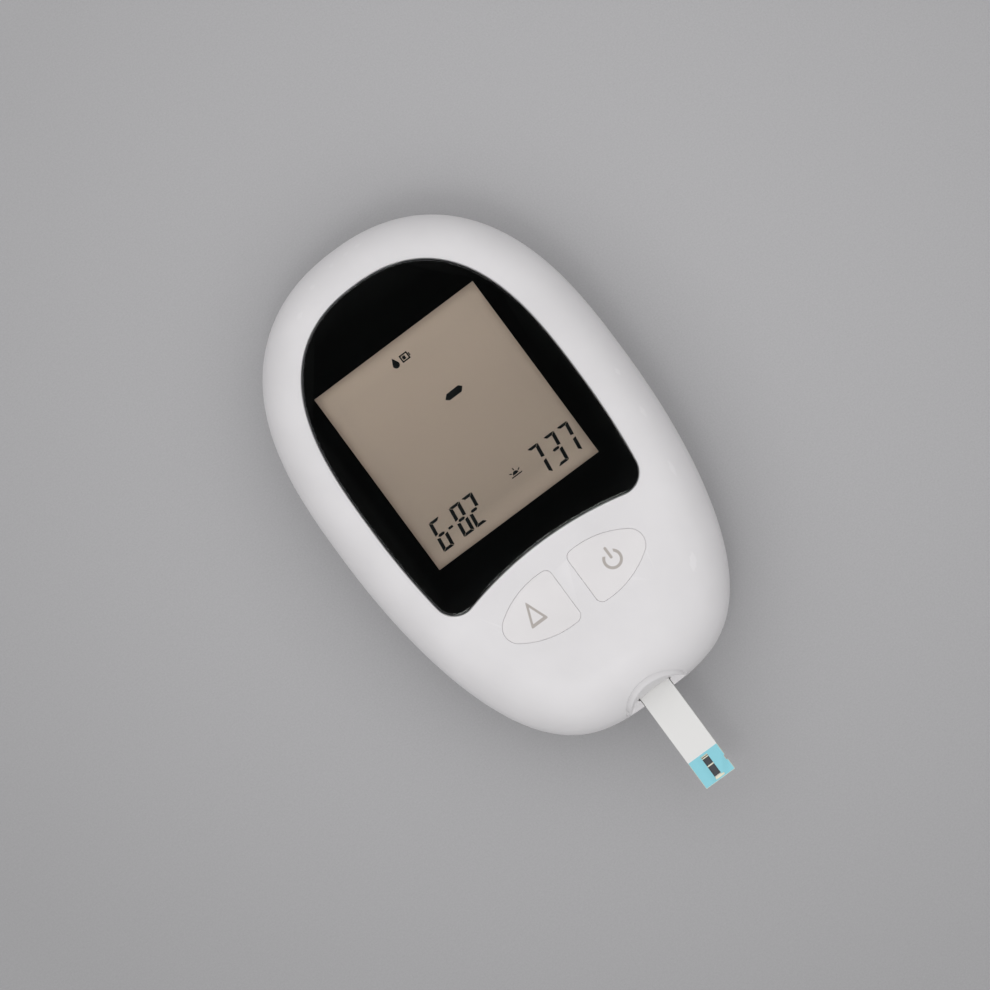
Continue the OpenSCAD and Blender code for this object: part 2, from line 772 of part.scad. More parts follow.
// Flat package with leads on its four sides
module controller_chip() {
    color([0.12, 0.12, 0.13]) translate([0, chip_y, board_top]) {
        block([-chip_w / 2, -chip_w / 2, 0.1], [chip_w / 2, chip_w / 2, chip_h]);
        for (side = [0:3], k = [0:chip_leads - 1])
            rotate([0, 0, 90 * side]) translate([(k - (chip_leads - 1) / 2) * chip_pitch, chip_w / 2, 0])
                block([-0.15, -0.1, 0], [0.15, 0.9, 0.25]);
    }
}

// Box of a given size standing on the board
module standing(x, y, size) {
    translate([x - size.x / 2, y - size.y / 2, board_top]) cube(size);
}

// Small parts on both sides of the chip: three pairs of resistors, a crystal and a capacitor
module board_parts() {
    color([0.55, 0.5, 0.42]) {
        for (side = [-1, 1], k = [-1:1])
            standing(side * parts_x + parts_pitch * k, resistor_y, resistor);
        standing(parts_x, parts_y, crystal);
        rod(-parts_x, parts_y, board_top, board_top + capacitor_r, capacitor_r);
    }
}

module buzzer() {
    color([0.1, 0.1, 0.1]) difference() {
        rod(0, buzzer_y, board_z - buzzer_h, board_z, buzzer_r);
        rod(0, buzzer_y, board_z - buzzer_h - over, board_z - buzzer_h + 0.8, buzzer_r / 5);
    }
}

// ---------- buttons ----------

// Flush cap on a flange that the case holds in, with a stem down to the switch
module button_cap() {
    translate([0, 0, flange_z]) linear_extrude(body_h - flange_z) button_shape(0);
    translate([0, 0, flange_z]) linear_extrude(flange_t) button_shape(flange_w);
    rod(switch_x, switch_y, stem_z, flange_z + eps, stem_d / 2);
}

module left_button() {
    color([0.88, 0.875, 0.875]) mirror([1, 0, 0]) button_cap();
}

module right_button() {
    color([0.88, 0.875, 0.875]) button_cap();
}

module switch_body() {
    color([0.2, 0.2, 0.22]) difference() {
        translate([switch_x, switch_y, board_top])
            block([-switch_w / 2, -switch_w / 2, 0], [switch_w / 2, switch_w / 2, switch_h]);
        rod(switch_x, switch_y, board_top + 0.3, board_top + switch_h + over, plunger_d / 2 + 0.1);
    }
}

module left_switch() {
    mirror([1, 0, 0]) switch_body();
}

module right_switch() {
    switch_body();
}

module plunger() {
    rod(switch_x, switch_y, board_top + 0.4 + button_travel, stem_z, plunger_d / 2);
}

module left_plunger() {
    color([0.75, 0.2, 0.15]) mirror([1, 0, 0]) plunger();
}

module right_plunger() {
    color([0.75, 0.2, 0.15]) plunger();
}

// ---------- strip port ----------

module strip_port() {
    port_z = slot_z - port_floor;
    color([0.25, 0.25, 0.27]) difference() {
        block([-port_w / 2, port_y0, port_z], [port_w / 2, port_y0 + port_l, board_z]);
        block([-slot_w / 2, port_y0 - over, slot_z], [slot_w / 2, strip_y1 + 0.6, slot_z + slot_h]);
        for (k = [0:contact_n - 1])
            translate([contact_x(k), 0, 0])
                block(
                    [-contact_w / 2 - 0.1, port_y0 + 2, slot_z + slot_h - eps],
                    [contact_w / 2 + 0.1, port_y0 + port_l + over, board_z - 0.35]
                );
    }
}

function contact_x(k) = (k - (contact_n - 1) / 2) * contact_pitch;

// Bent leaf springs that press on the strip's tracks, with tails soldered under the board
module strip_contacts() {
    low = strip_z + strip_base_t + track_t + contact_gap;
    high = board_z - 0.45 - contact_t;
    y0 = port_y0 + contact_in;
    y1 = y0 + contact_lead;
    y2 = y1 + contact_flat;
    y3 = port_y0 + port_l - contact_held;
    y4 = port_y0 + port_l + 0.5;
    flat_z = board_z - contact_t;
    under = [
        [y0, low + 0.5], [y1, low], [y2, low], [y3, high],
        [y4, high], [y4, flat_z], [contact_tail_y, flat_z]
    ];
    upper = [
        [contact_tail_y, board_z], [y4 - contact_t, board_z], [y4 - contact_t, high + contact_t],
        [y3 - 0.1, high + contact_t], [y2, low + contact_t], [y1, low + contact_t],
        [y0 + 0.1, low + 0.5 + contact_t]
    ];
    color([0.85, 0.7, 0.35]) for (k = [0:contact_n - 1])
        translate([contact_x(k) - contact_w / 2, 0, 0])
            rotate([90, 0, 90]) linear_extrude(contact_w) polygon(concat(under, upper));
}

// ---------- test strip ----------

track_z = strip_z + strip_base_t;
spacer_z = track_z + track_t;
cover_z = spacer_z + spacer_t;
cover_end = port_y0 + 3.2;
vent = [strip_w / 2 - 0.25, strip_y0 + 2.0, 1.0];

module vent_notch(z0, z1) {
    block([vent[0], vent[1], z0 - over], [strip_w, vent[1] + vent[2], z1 + over]);
}

module strip_base() {
    color([0.9, 0.9, 0.88]) difference() {
        block([-strip_w / 2, strip_y0, strip_z], [strip_w / 2, strip_y1, track_z]);
        vent_notch(strip_z, track_z);
    }
}

// Printed tracks: two pads under the channel, each led to the contacts
module strip_tracks() {
    pad_l = 1.7;
    gap = 0.3;
    lead = 0.7;
    color([0.2, 0.2, 0.22]) for (k = [0, 1]) {
        y = strip_y0 + 0.7 + k * (pad_l + gap);
        side = k == 0 ? -1 : 1;
        x0 = side * contact_pitch - lead / 2;
        block([-channel_w / 2 - 0.05, y, track_z], [channel_w / 2 + 0.05, y + pad_l, spacer_z]);
        block(
            [min(x0, -channel_w / 2), y + 0.4, track_z],
            [max(x0 + lead, channel_w / 2), y + 0.4 + lead, spacer_z]
        );
        block([x0, y + 0.4, track_z], [x0 + lead, strip_y1 - 0.4, spacer_z]);
    }
}

module strip_spacer() {
    color([0.92, 0.9, 0.8]) difference() {
        block([-strip_w / 2, strip_y0, spacer_z], [strip_w / 2, cover_end, cover_z]);
        block(
            [-channel_w / 2, strip_y0 - over, spacer_z - over],
            [channel_w / 2, strip_y0 + tip_l - 0.4, cover_z + over]
        );
        vent_notch(spacer_z, cover_z);
    }
}

module strip_cover() {
    color([0.88, 0.88, 0.87])
        block([-strip_w / 2, strip_y0 + tip_l, cover_z], [strip_w / 2, cover_end, cover_z + cover_t]);
}

module strip_tip() {
    color([0.5, 0.8, 0.85]) difference() {
        block([-strip_w / 2, strip_y0, cover_z], [strip_w / 2, strip_y0 + tip_l, cover_z + cover_t]);
        block(
            [-channel_w / 2, strip_y0 + 0.5, cover_z - over],
            [channel_w / 2, strip_y0 + tip_l - 0.4, cover_z + cover_t + over]
        );
        vent_notch(cover_z, cover_z + cover_t);
    }
}

// ---------- batteries ----------

// Cell along +Y with its nub at the far end
module cell() {
    nub_r = 1.9;
    nub_l = 1.0;
    r = cell_d / 2;
    rotate([-90, 0, 0]) rotate_extrude($fn = arc_fn) polygon([
        [0, 0], [r - 1, 0], [r - 0.3, 0.3], [r, 0.8], [r, cell_l - nub_l - 0.7],
        [r - 0.5, cell_l - nub_l], [nub_r, cell_l - nub_l], [nub_r, cell_l - 0.2],
        [nub_r - 0.2, cell_l], [0, cell_l]
    ]);
}

module left_cell() {
    color([0.25, 0.35, 0.3]) translate([-cell_pitch / 2, bay_y0 + plate_t + spring_l, cell_z]) cell();
}

module right_cell() {
    color([0.25, 0.35, 0.3])
        translate([cell_pitch / 2, bay_y1 - plate_t - spring_l, cell_z]) rotate([0, 0, 180]) cell();
}

module plate(x0, x1, y0) {
    block([x0, y0, cell_z - cell_d / 2 + 0.6], [x1, y0 + plate_t, roof_z - 0.2]);
}

module tab(x, y0) {
    block([x - tab_w / 2, y0, roof_z - 1], [x + tab_w / 2, y0 + plate_t, board_top + 0.4]);
}

module bridge_contact() {
    color([0.8, 0.8, 0.8])
        plate(-cell_pitch / 2 - plate_w / 2, cell_pitch / 2 + plate_w / 2, bay_y1 - plate_t);
}

module plus_contact() {
    color([0.8, 0.8, 0.8]) {
        plate(plate_gap / 2, cell_pitch / 2 + plate_w / 2, bay_y0);
        tab(cell_pitch / 2, bay_y0);
    }
}

module minus_contact() {
    color([0.8, 0.8, 0.8]) {
        plate(-cell_pitch / 2 - plate_w / 2, -plate_gap / 2, bay_y0);
        tab(-cell_pitch / 2, bay_y0);
    }
}

// Conical coil along +Y from its wide end at the origin
module coil() {
    steps = 12;
    sides = 6;
    r = spring_wire / 2;
    n = steps * spring_turns;
    rise = spring_l - 2 * (r + 0.02);
    polyhedron(
        points = [for (k = [0:n]) let (
                a = 360 * k / steps, f = k / n,
                big = spring_wide + (spring_narrow - spring_wide) * f
            )
            for (j = [0:sides - 1]) let (b = 360 * j / sides, c = big + r * cos(b))
                [c * cos(a), r + 0.02 + rise * f + r * sin(b), c * sin(a)]
        ],
        faces = concat(
            [[for (j = [sides - 1:-1:0]) j]],
            [for (k = [0:n - 1]) for (j = [0:sides - 1]) let (
                    p = k * sides + j, q = k * sides + (j + 1) % sides
                ) [p, q, q + sides]],
            [for (k = [0:n - 1]) for (j = [0:sides - 1]) let (
                    p = k * sides + j, q = k * sides + (j + 1) % sides
                ) [p, q + sides, p + sides]],
            [[for (j = [0:sides - 1]) n * sides + j]]
        )
    );
}

module battery_springs() {
    color([0.8, 0.8, 0.8]) {
        translate([-cell_pitch / 2, bay_y0 + plate_t, cell_z]) coil();
        translate([cell_pitch / 2, bay_y1 - plate_t, cell_z]) rotate([0, 0, 180]) coil();
    }
}

// ---------- screws ----------

// Pan-head screw pointing up, its head's underside at the origin
module screw(d, head, h, len, recess) {
    difference() {
        union() {
            translate([0, 0, -h]) cylinder(h = h, r1 = head / 2 - 0.35, r2 = head / 2, $fn = arc_fn);
            cylinder(h = len - 0.6, r = d / 2, $fn = arc_fn);
            translate([0, 0, len - 0.6]) cylinder(h = 0.6, r1 = d / 2, r2 = d / 4, $fn = arc_fn);
        }
        for (a = [0, 90]) rotate([0, 0, a])
            block([-recess / 2, -head * 0.3, -h - over], [recess / 2, head * 0.3, -h + h * 0.55]);
    }
}

module case_screws() {
    color([0.6, 0.6, 0.62]) for (p = screw_xy)
        translate([p.x, p.y, head_seat]) screw(screw_d * 0.84, head_d, head_h, screw_l, 0.6);
}

module board_screws() {
    color([0.6, 0.6, 0.62]) for (p = board_screw_xy)
        translate([p.x, p.y, board_z])
            screw(board_screw_d * 0.84, board_head_d, board_head_h, board_screw_l, 0.4);
}

front_case();
rear_case();
battery_door();
display_lens();
lens_film();
display_gasket();
lcd_polariser();
lcd_front_glass();
lcd_rear_glass();
lcd_reflector();
lcd_frame();
zebra_connector();
main_board();
controller_chip();
board_parts();
buzzer();
left_button();
right_button();
left_switch();
right_switch();
left_plunger();
right_plunger();
strip_port();
strip_contacts();
strip_base();
strip_tracks();
strip_spacer();
strip_cover();
strip_tip();
left_cell();
right_cell();
bridge_contact();
plus_contact();
minus_contact();
battery_springs();
case_screws();
board_screws();
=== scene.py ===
"""Looks of a blood glucose meter with a test strip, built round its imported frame.

Lengths are in millimetres until a piece is placed. +X is the meter's right, +Y its display end, +Z up.
"""
import math

import bmesh
import bpy
import numpy as np
from mathutils import Matrix, Vector


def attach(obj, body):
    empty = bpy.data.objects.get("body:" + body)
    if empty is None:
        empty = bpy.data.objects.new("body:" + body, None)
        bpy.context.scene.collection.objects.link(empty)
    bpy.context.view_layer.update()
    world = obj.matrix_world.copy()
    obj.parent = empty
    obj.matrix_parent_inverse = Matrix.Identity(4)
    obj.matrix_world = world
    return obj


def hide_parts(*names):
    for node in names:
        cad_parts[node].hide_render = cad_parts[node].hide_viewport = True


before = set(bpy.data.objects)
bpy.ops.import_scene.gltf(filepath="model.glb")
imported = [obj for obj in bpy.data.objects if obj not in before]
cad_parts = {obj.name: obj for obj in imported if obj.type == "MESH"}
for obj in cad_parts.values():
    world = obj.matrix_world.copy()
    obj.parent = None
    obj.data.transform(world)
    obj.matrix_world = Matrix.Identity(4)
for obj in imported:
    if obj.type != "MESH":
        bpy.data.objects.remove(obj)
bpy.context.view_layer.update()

MM = 0.001

# ---------- sizes, those of the CAD where nothing else is said ----------

HALF_W, HALF_L, WIDEST_Y = 30.0, 47.25, 3.9
TOP_L, LOW_L = HALF_L - WIDEST_Y, HALF_L + WIDEST_Y
TOP_SIDE, TOP_END, LOW_SIDE, LOW_END = 2.82, 2.22, 2.05, 3.25   # fullness of the outline
PART_Z, BODY_H, WALL = 10.5, 20.3, 1.8
CEILING_Z = BODY_H - WALL
DOME_INSET, DOME_POWER = 11.0, 2.3
BASE_INSET, BASE_POWER = 8.5, 2.6
SEAM, LIP_H, PLAY = 0.25, 1.0, 0.1

LENS_INSET, LENS_CORNER, LENS_ARCH_R, LENS_LOW_Y = 7.95, 3.9, 66.8, -14.5   # a little within the CAD's outline
LENS_GAP, LENS_T, LENS_PROUD, LENS_EDGE_R = 0.1, 1.5, 0.15, 0.12
LENS_TOP = BODY_H + LENS_PROUD
LENS_Z = LENS_TOP - LENS_T
FILM_Z, SEAT_Z, LCD_TOP = LENS_Z - 0.15, LENS_Z - 1.35, LENS_Z - 1.75
WINDOW_X, WINDOW_Y0, WINDOW_Y1, CASE_WINDOW = 16.85, -8.1, 27.9, 0.8

BUTTON_IN, BUTTON_W, BUTTON_L, BUTTON_CROWN = 1.85, 12.55, 10.3, 2.1
BUTTON_SIDE_R, BUTTON_CORNER_R, BUTTON_GAP = 16.2, 1.2, 0.15
BUTTON_TOP_Y = -18.75
BUTTON_Y = BUTTON_TOP_Y - BUTTON_L / 2
FLANGE_W, FLANGE_T, STEM_R, STEM_Z = 0.8, 0.8, 1.5, 16.6
FLANGE_Z = CEILING_Z - 0.05 - FLANGE_T
SWITCH_X = BUTTON_IN + BUTTON_W * 0.49

STRIP_W, STRIP_Y0, STRIP_Y1, COVER_END = 6.0, -64.75, -31.75, -39.25
TIP_L, CHANNEL_W = 5.3, 1.3
STRIP_Z, TRACK_Z, SPACER_Z, COVER_Z, STRIP_TOP = 11.7, 12.0, 12.05, 12.2, 12.3
CONTACT_PITCH = 1.15

SLOT_X, SLOT_Z, SLOT_TOP, SILL_Z = 3.12, 11.58, 12.42, 12.18
PORT_WALL_X, PORT_WALL_Y = 8.8, -42.55
MOUTH_Y, MOUTH_R = -45.6, 34.0           # foot of the scoop's wall
SCOOP_Y, SCOOP_R, SCOOP_HALF, LEDGE_W, LEDGE_STEP = -51.7, 8.2, 6.995, 1.15, 0.8

BAY_X, BAY_Y0, BAY_Y1, BAY_WALL, ROOF_Z, ROOF_T = 11.1, -16.25, 33.25, 1.2, 12.7, 0.8
DOOR_X, DOOR_Y0, DOOR_T, DOOR_GAP, DOOR_TRAVEL = 15.0, -20.25, 1.6, 0.15, 4.0
LEDGE_Z, LEDGE_TOP = 1.65, 3.15
HOOK_X, HOOK_W, HOOK_L, HOOK_FOOT, HOOK_T = 13.3, 1.4, 2.0, 3.4, 0.9
HOOK_YS = (BAY_Y0 + 4, 8.5, BAY_Y1 - 6)
TAB_X, TAB_HALF = 5.55, 1.7

CASE_SCREWS = ((21.8, 24.0), (-21.8, 24.0), (17.5, -31.05), (-17.5, -31.05))
BOARD_SCREWS = ((17.0, -19.6), (-17.0, -19.6), (0.0, 37.45))
BOSS_R, REAR_BOSS_R, BOARD_POST_R, HEAD_SEAT, REAR_BOSS_TOP = 2.6, 3.0, 1.8, 4.0, 6.0
CASE_HOLE_R, BOARD_HOLE_R, SHANK_R, HEAD_R = 0.84, 0.67, 1.2, 2.3
BOARD_TOP = 14.6

INK_T, MARK_T = 0.02, 0.012               # thickness of the display's figures and of the buttons' marks
SHARP, CAD_SHARP = 35, 30                 # degrees beyond which an edge stays sharp


# ---------- outline of the body ----------

def edge(s):
    """Points and outward normals of the right-hand outline.

    s is 0 at the display end, 1 at the widest line and 2 at the strip end.
    """
    s = np.clip(np.asarray(s, float), 0, 2)
    top = s <= 1
    f = np.where(top, s, s - 1)
    a = np.pi / 2 * (f - 0.5 * np.sin(2 * np.pi * f) / (2 * np.pi))
    sin, cos = np.clip(np.sin(a), 0, 1), np.clip(np.cos(a), 0, 1)
    x = HALF_W * np.where(top, sin ** (2 / TOP_END), cos ** (2 / LOW_END))
    y = np.where(top, WIDEST_Y + TOP_L * cos ** (2 / TOP_SIDE), WIDEST_Y - LOW_L * sin ** (2 / LOW_SIDE))
    end, side = np.where(top, TOP_END, LOW_END), np.where(top, TOP_SIDE, LOW_SIDE)
    reach, up = np.where(top, TOP_L, LOW_L), np.where(top, 1, -1)
    nx = end / HALF_W * (x / HALF_W) ** (end - 1)
    ny = up * side / reach * (np.abs(y - WIDEST_Y) / reach) ** (side - 1)
    normal = np.stack([nx, ny], -1)
    return np.stack([x, y], -1), normal / np.linalg.norm(normal, axis=-1, keepdims=True)


def edge_in(s, d):
    point, normal = edge(s)
    return point - np.asarray(d)[..., None] * normal


def body_ring(d, turns):
    """Body outline moved inwards by d, at turns from 0 to 1 round from the display end by the left."""
    turns = np.asarray(turns, float)
    left = turns <= 0.5
    ring = edge_in(4 * np.where(left, turns, 1 - turns), np.full(turns.shape, float(d)))
    return ring * np.stack([np.where(left, -1, 1), np.ones(turns.shape)], -1)


def even_turns(n):
    return np.linspace(0, 1, n, endpoint=False)


def inset_of(points):
    """Distance of each point from the body's outline."""
    line, _ = edge(np.linspace(0, 2, 1601))
    a, b = line[:-1], line[1:]
    p = np.array(points, float)
    p[:, 0] = np.abs(p[:, 0])
    ab = b - a
    t = np.clip(((p[:, None] - a) * ab).sum(-1) / (ab ** 2).sum(-1), 0, 1)
    return np.linalg.norm(p[:, None] - (a + t[..., None] * ab), axis=-1).min(1)


def dome_z(d):
    """Height of the top surface at distance d inside the outline."""
    share = np.clip(1 - np.asarray(d, float) / DOME_INSET, 0, 1) ** DOME_POWER
    return PART_Z + (BODY_H - PART_Z) * (1 - share) ** (1 / DOME_POWER)


def roll(steps, start, inset, power, z0, h):
    """(distance inside the outline, height) up a rolled edge."""
    a = np.linspace(0, np.pi / 2, steps + 1)
    return start + (inset - start) * (1 - np.cos(a).clip(0) ** (2 / power)), z0 + h * np.sin(a) ** (2 / power)


def base_roll(steps, start, depth):
    """The same for the base, from its lowest ring up."""
    d, h = roll(steps, start, BASE_INSET, BASE_POWER, 0, 1)
    return d[::-1], PART_Z - depth * h[::-1]


def lens_half():
    """Points and outward normals of the lens's right half, from the top to the middle of the lower edge."""
    hub = np.array([0, LENS_LOW_Y - LENS_ARCH_R])
    low, high = 1.0, 1.8
    for _ in range(40):
        s = (low + high) / 2
        corner = edge_in(s, LENS_INSET + LENS_CORNER)
        if np.linalg.norm(corner - hub) > LENS_ARCH_R + LENS_CORNER:
            low = s
        else:
            high = s
    points, normals = edge(np.linspace(0, s, 120))
    points = points - LENS_INSET * normals
    a0 = math.atan2(normals[-1, 1], normals[-1, 0])
    a1 = math.atan2(hub[1] - corner[1], hub[0] - corner[0])
    turn = np.linspace(a0, a1, 26)[1:]
    around = np.stack([np.cos(turn), np.sin(turn)], -1)
    b0 = math.atan2(corner[1] - hub[1], corner[0])
    sweep = np.linspace(b0, math.pi / 2, 40)[1:]
    rays = np.stack([np.cos(sweep), np.sin(sweep)], -1)
    return (
        np.concatenate([points, corner + LENS_CORNER * around, hub + LENS_ARCH_R * rays]),
        np.concatenate([normals, around, -rays]),
    )


LENS_HALF = lens_half()


def lens_ring(d):
    """Lens outline moved inwards by d."""
    half = LENS_HALF[0] - d * LENS_HALF[1]
    return np.concatenate([half * [-1, 1], half[-2:0:-1]])


def arc(x, y, r, a0, a1, steps):
    """Points on an arc, without its first one."""
    a = np.linspace(a0, a1, steps + 1)[1:]
    return np.stack([x + r * np.cos(a), y + r * np.sin(a)], -1)


def button_ring(grow, side):
    """Outline of a button grown by grow: a leaf with two long arcs, a round tip and two inner corners."""
    side_x, side_y = BUTTON_IN + BUTTON_CROWN, BUTTON_L / 2 - BUTTON_SIDE_R
    reach = BUTTON_W - BUTTON_CROWN
    tip_r = (BUTTON_SIDE_R ** 2 - side_y ** 2 - reach ** 2) / (2 * BUTTON_SIDE_R - 2 * reach)
    tip_x, corner_x = BUTTON_IN + BUTTON_W - tip_r, BUTTON_IN + BUTTON_CORNER_R
    corner_y = side_y + math.sqrt((BUTTON_SIDE_R - BUTTON_CORNER_R) ** 2 - (corner_x - side_x) ** 2)
    a = math.atan2(-side_y, tip_x - side_x)
    b = math.atan2(corner_y - side_y, corner_x - side_x)
    half = np.concatenate([
        arc(tip_x, 0, tip_r + grow, 0, a, 24),
        arc(side_x, side_y, BUTTON_SIDE_R + grow, a, b, 48),
        arc(corner_x, corner_y, BUTTON_CORNER_R + grow, b, math.pi, 16),
    ])
    ring = np.concatenate([half, half[::-1] * [1, -1], [[tip_x + tip_r + grow, 0]]]) + [0, BUTTON_Y]
    return ring if side > 0 else (ring * [-1, 1])[::-1]


def soft_polygon(corners, r):
    """Polygon with its corners rounded off, each from r before it to r after it."""
    corners = np.array(corners, float)
    out = []
    for before, corner, after in zip(np.roll(corners, 1, 0), corners, np.roll(corners, -1, 0)):
        a = corner + (before - corner) / np.linalg.norm(before - corner) * r
        b = corner + (after - corner) / np.linalg.norm(after - corner) * r
        out += [(1 - t) ** 2 * a + 2 * t * (1 - t) * corner + t * t * b for t in np.linspace(0, 1, 6)]
    return np.array(out)


def rectangle(x0, y0, x1, y1):
    return [(x0, y0), (x1, y0), (x1, y1), (x0, y1)]


def fillet_steps(r, steps=4):
    """How far in, and how far below the top, each step up a rounded edge lies."""
    return [(r * (1 - math.cos(a)), r * (1 - math.sin(a))) for a in np.radians(np.linspace(0, 90, steps + 1))]


# ---------- meshes ----------

def at_height(ring, z):
    return np.column_stack([ring, np.broadcast_to(z, len(ring))])


def solid(name, rings):
    """Closed solid through rings of 3-D points that run the same way round, from the lowest up."""
    n = len(rings[0])
    faces = []
    for i in range(len(rings) - 1):
        for k in range(n):
            a, b = i * n + k, i * n + (k + 1) % n
            faces.append((a, b, b + n, a + n))
    faces += [tuple(range(n))[::-1], tuple(range((len(rings) - 1) * n, len(rings) * n))]
    mesh = bpy.data.meshes.new(name)
    mesh.from_pydata([tuple(map(float, p)) for p in np.concatenate(rings)], [], faces)
    piece = bpy.data.objects.new(name, mesh)
    bpy.context.scene.collection.objects.link(piece)
    bm = bmesh.new()
    bm.from_mesh(mesh)
    bmesh.ops.recalc_face_normals(bm, faces=bm.faces)
    bm.to_mesh(mesh)
    bm.free()
    return piece


def prism(name, ring, z0, z1):
    return solid(name, [at_height(ring, z0), at_height(ring, z1)])


def box(low, high):
    (x0, y0, z0), (x1, y1, z1) = low, high
    return prism("box", np.array(rectangle(x0, y0, x1, y1), float), z0, z1)


def rod(x, y, z0, z1, r, sides=48):
    return prism("rod", arc(x, y, r, 0, 2 * math.pi, sides), z0, z1)


def combine(piece, others, operation):
    """Booleans the others into a piece and removes them."""
    for other in others:
        modifier = piece.modifiers.new("combine", "BOOLEAN")
        modifier.operation, modifier.solver, modifier.object = operation, "MANIFOLD", other
        bpy.context.view_layer.update()
        evaluated = piece.evaluated_get(bpy.context.evaluated_depsgraph_get())
        mesh = bpy.data.meshes.new_from_object(evaluated)
        piece.modifiers.clear()
        old, piece.data = piece.data, mesh
        bpy.data.meshes.remove(old)
        bpy.data.objects.remove(other)
    return piece


def cut(piece, *others):
    return combine(piece, others, "DIFFERENCE")


def add(piece, *others):
    return combine(piece, others, "UNION")


def band(outer, inner, z0, z1):
    """Ring-shaped prism between two outlines."""
    return cut(prism("band", outer, z0, z1), prism("hole", inner, z0 - 1, z1 + 1))


def place(piece, name, body, material, replaces=()):
    """Scales a finished piece to metres, names and shades it, and lets it ride on its body."""
    piece.name = piece.data.name = name
    piece.data.transform(Matrix.Scale(MM, 4))
    piece.data.materials.clear()
    piece.data.materials.append(material)
    shade(piece, SHARP)
    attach(piece, body)
    if replaces:
        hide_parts(*replaces)
    return piece


def shade(piece, sharp):
    """Smooth shading that keeps edges sharper than an angle, and flat faces flat."""
    mesh = piece.data
    mesh.polygons.foreach_set("use_smooth", [True] * len(mesh.polygons))
    mesh.set_sharp_from_angle(angle=math.radians(sharp))
    modifier = piece.modifiers.new("flat_faces", "WEIGHTED_NORMAL")
    modifier.keep_sharp = True
    modifier.weight = 80


# ---------- finishes ----------

class Finish:
    """A material's node tree, with shorthands for the nodes used here."""

    def __init__(self, name, color, roughness, **values):
        self.material = bpy.data.materials.new(name)
        self.material.use_nodes = True
        self.nodes, self.links = self.material.node_tree.nodes, self.material.node_tree.links
        self.shader = self.nodes["Principled BSDF"]
        self.set("Base Color", (*color, 1))
        self.set("Roughness", roughness)
        for key, value in values.items():
            self.set(key.replace("_", " "), value)
        self.coordinates = self.nodes.new("ShaderNodeTexCoord").outputs["Object"]

    def set(self, socket, value):
        self.shader.inputs[socket].default_value = value

    def link(self, source, socket):
        self.links.new(source, self.shader.inputs[socket])

    def noise(self, scale, detail=2, roughness=0.5):
        """Noise of about scale features per metre."""
        node = self.nodes.new("ShaderNodeTexNoise")
        node.inputs["Scale"].default_value = scale
        node.inputs["Detail"].default_value = detail
        node.inputs["Roughness"].default_value = roughness
        self.links.new(self.coordinates, node.inputs["Vector"])
        return node.outputs["Fac"]

    def along(self, direction):
        """Distance in metres along a direction of the object."""
        node = self.nodes.new("ShaderNodeVectorMath")
        node.operation = "DOT_PRODUCT"
        self.links.new(self.coordinates, node.inputs[0])
        node.inputs[1].default_value = direction
        return node.outputs["Value"]

    def distance(self):
        """Distance in metres from the origin."""
        node = self.nodes.new("ShaderNodeVectorMath")
        node.operation = "LENGTH"
        self.links.new(self.coordinates, node.inputs[0])
        return node.outputs["Value"]

    def mix(self, amount, low, high, blend="MIX"):
        """Mixes two colours, either of which may be a socket."""
        node = self.nodes.new("ShaderNodeMix")
        node.data_type, node.blend_type = "RGBA", blend
        if isinstance(amount, (int, float)):
            node.inputs["Factor"].default_value = amount
        else:
            self.links.new(amount, node.inputs["Factor"])
        for socket, value in (("A", low), ("B", high)):
            if isinstance(value, tuple):
                node.inputs[socket].default_value = (*value, 1)
            else:
                self.links.new(value, node.inputs[socket])
        return node.outputs["Result"]

    def ramp(self, source, low, high, start=0.3, end=0.7):
        """Maps source from start..end to low..high, which are numbers or colours."""
        node = self.nodes.new("ShaderNodeMapRange")
        node.inputs["From Min"].default_value, node.inputs["From Max"].default_value = start, end
        self.links.new(source, node.inputs["Value"])
        if isinstance(low, (int, float)):
            node.inputs["To Min"].default_value, node.inputs["To Max"].default_value = low, high
            return node.outputs["Result"]
        return self.mix(node.outputs["Result"], low, high)

    def multiply(self, color, factor):
        return self.mix(1.0, color, factor, "MULTIPLY")

    def edges(self, color, worn):
        """Mixes a worn colour in along convex edges."""
        geometry = self.nodes.new("ShaderNodeNewGeometry")
        return self.mix(self.ramp(geometry.outputs["Pointiness"], 0.0, 0.6, 0.53, 0.6), color, worn)

    def bump(self, height, depth):
        """Bump from a height texture, depth in metres."""
        node = self.nodes.new("ShaderNodeBump")
        node.inputs["Distance"].default_value = depth
        node.inputs["Strength"].default_value = 1
        self.links.new(height, node.inputs["Height"])
        self.link(node.outputs["Normal"], "Normal")


def shades(color, vary):
    return tuple(c * (1 - vary) for c in color), tuple(min(1, c * (1 + vary)) for c in color)


def plastic(name, color, roughness=0.42, vary=0.03, grain=2600, depth=4e-6, **values):
    """Moulded plastic: faint shade changes, a fine grain and slightly uneven gloss."""
    finish = Finish(name, color, roughness, **values)
    shaded = finish.ramp(finish.noise(90, 3), *shades(color, vary))
    finish.link(finish.edges(shaded, tuple(min(1, c * 1.06 + 0.01) for c in color)), "Base Color")
    finish.link(finish.ramp(finish.noise(300, 3), roughness - 0.05, roughness + 0.06), "Roughness")
    finish.bump(finish.noise(grain, 3), depth)
    return finish.material


def metal(name, color, roughness):
    """Drawn or plated metal with a fine unevenness and slightly dull patches."""
    finish = Finish(name, color, roughness, Metallic=1.0)
    finish.link(finish.ramp(finish.noise(500, 4), tuple(c * 0.82 for c in color), color), "Base Color")
    finish.link(finish.ramp(finish.noise(1500, 3), roughness - 0.08, roughness + 0.12), "Roughness")
    finish.bump(finish.noise(4500, 2), 2e-6)
    return finish.material


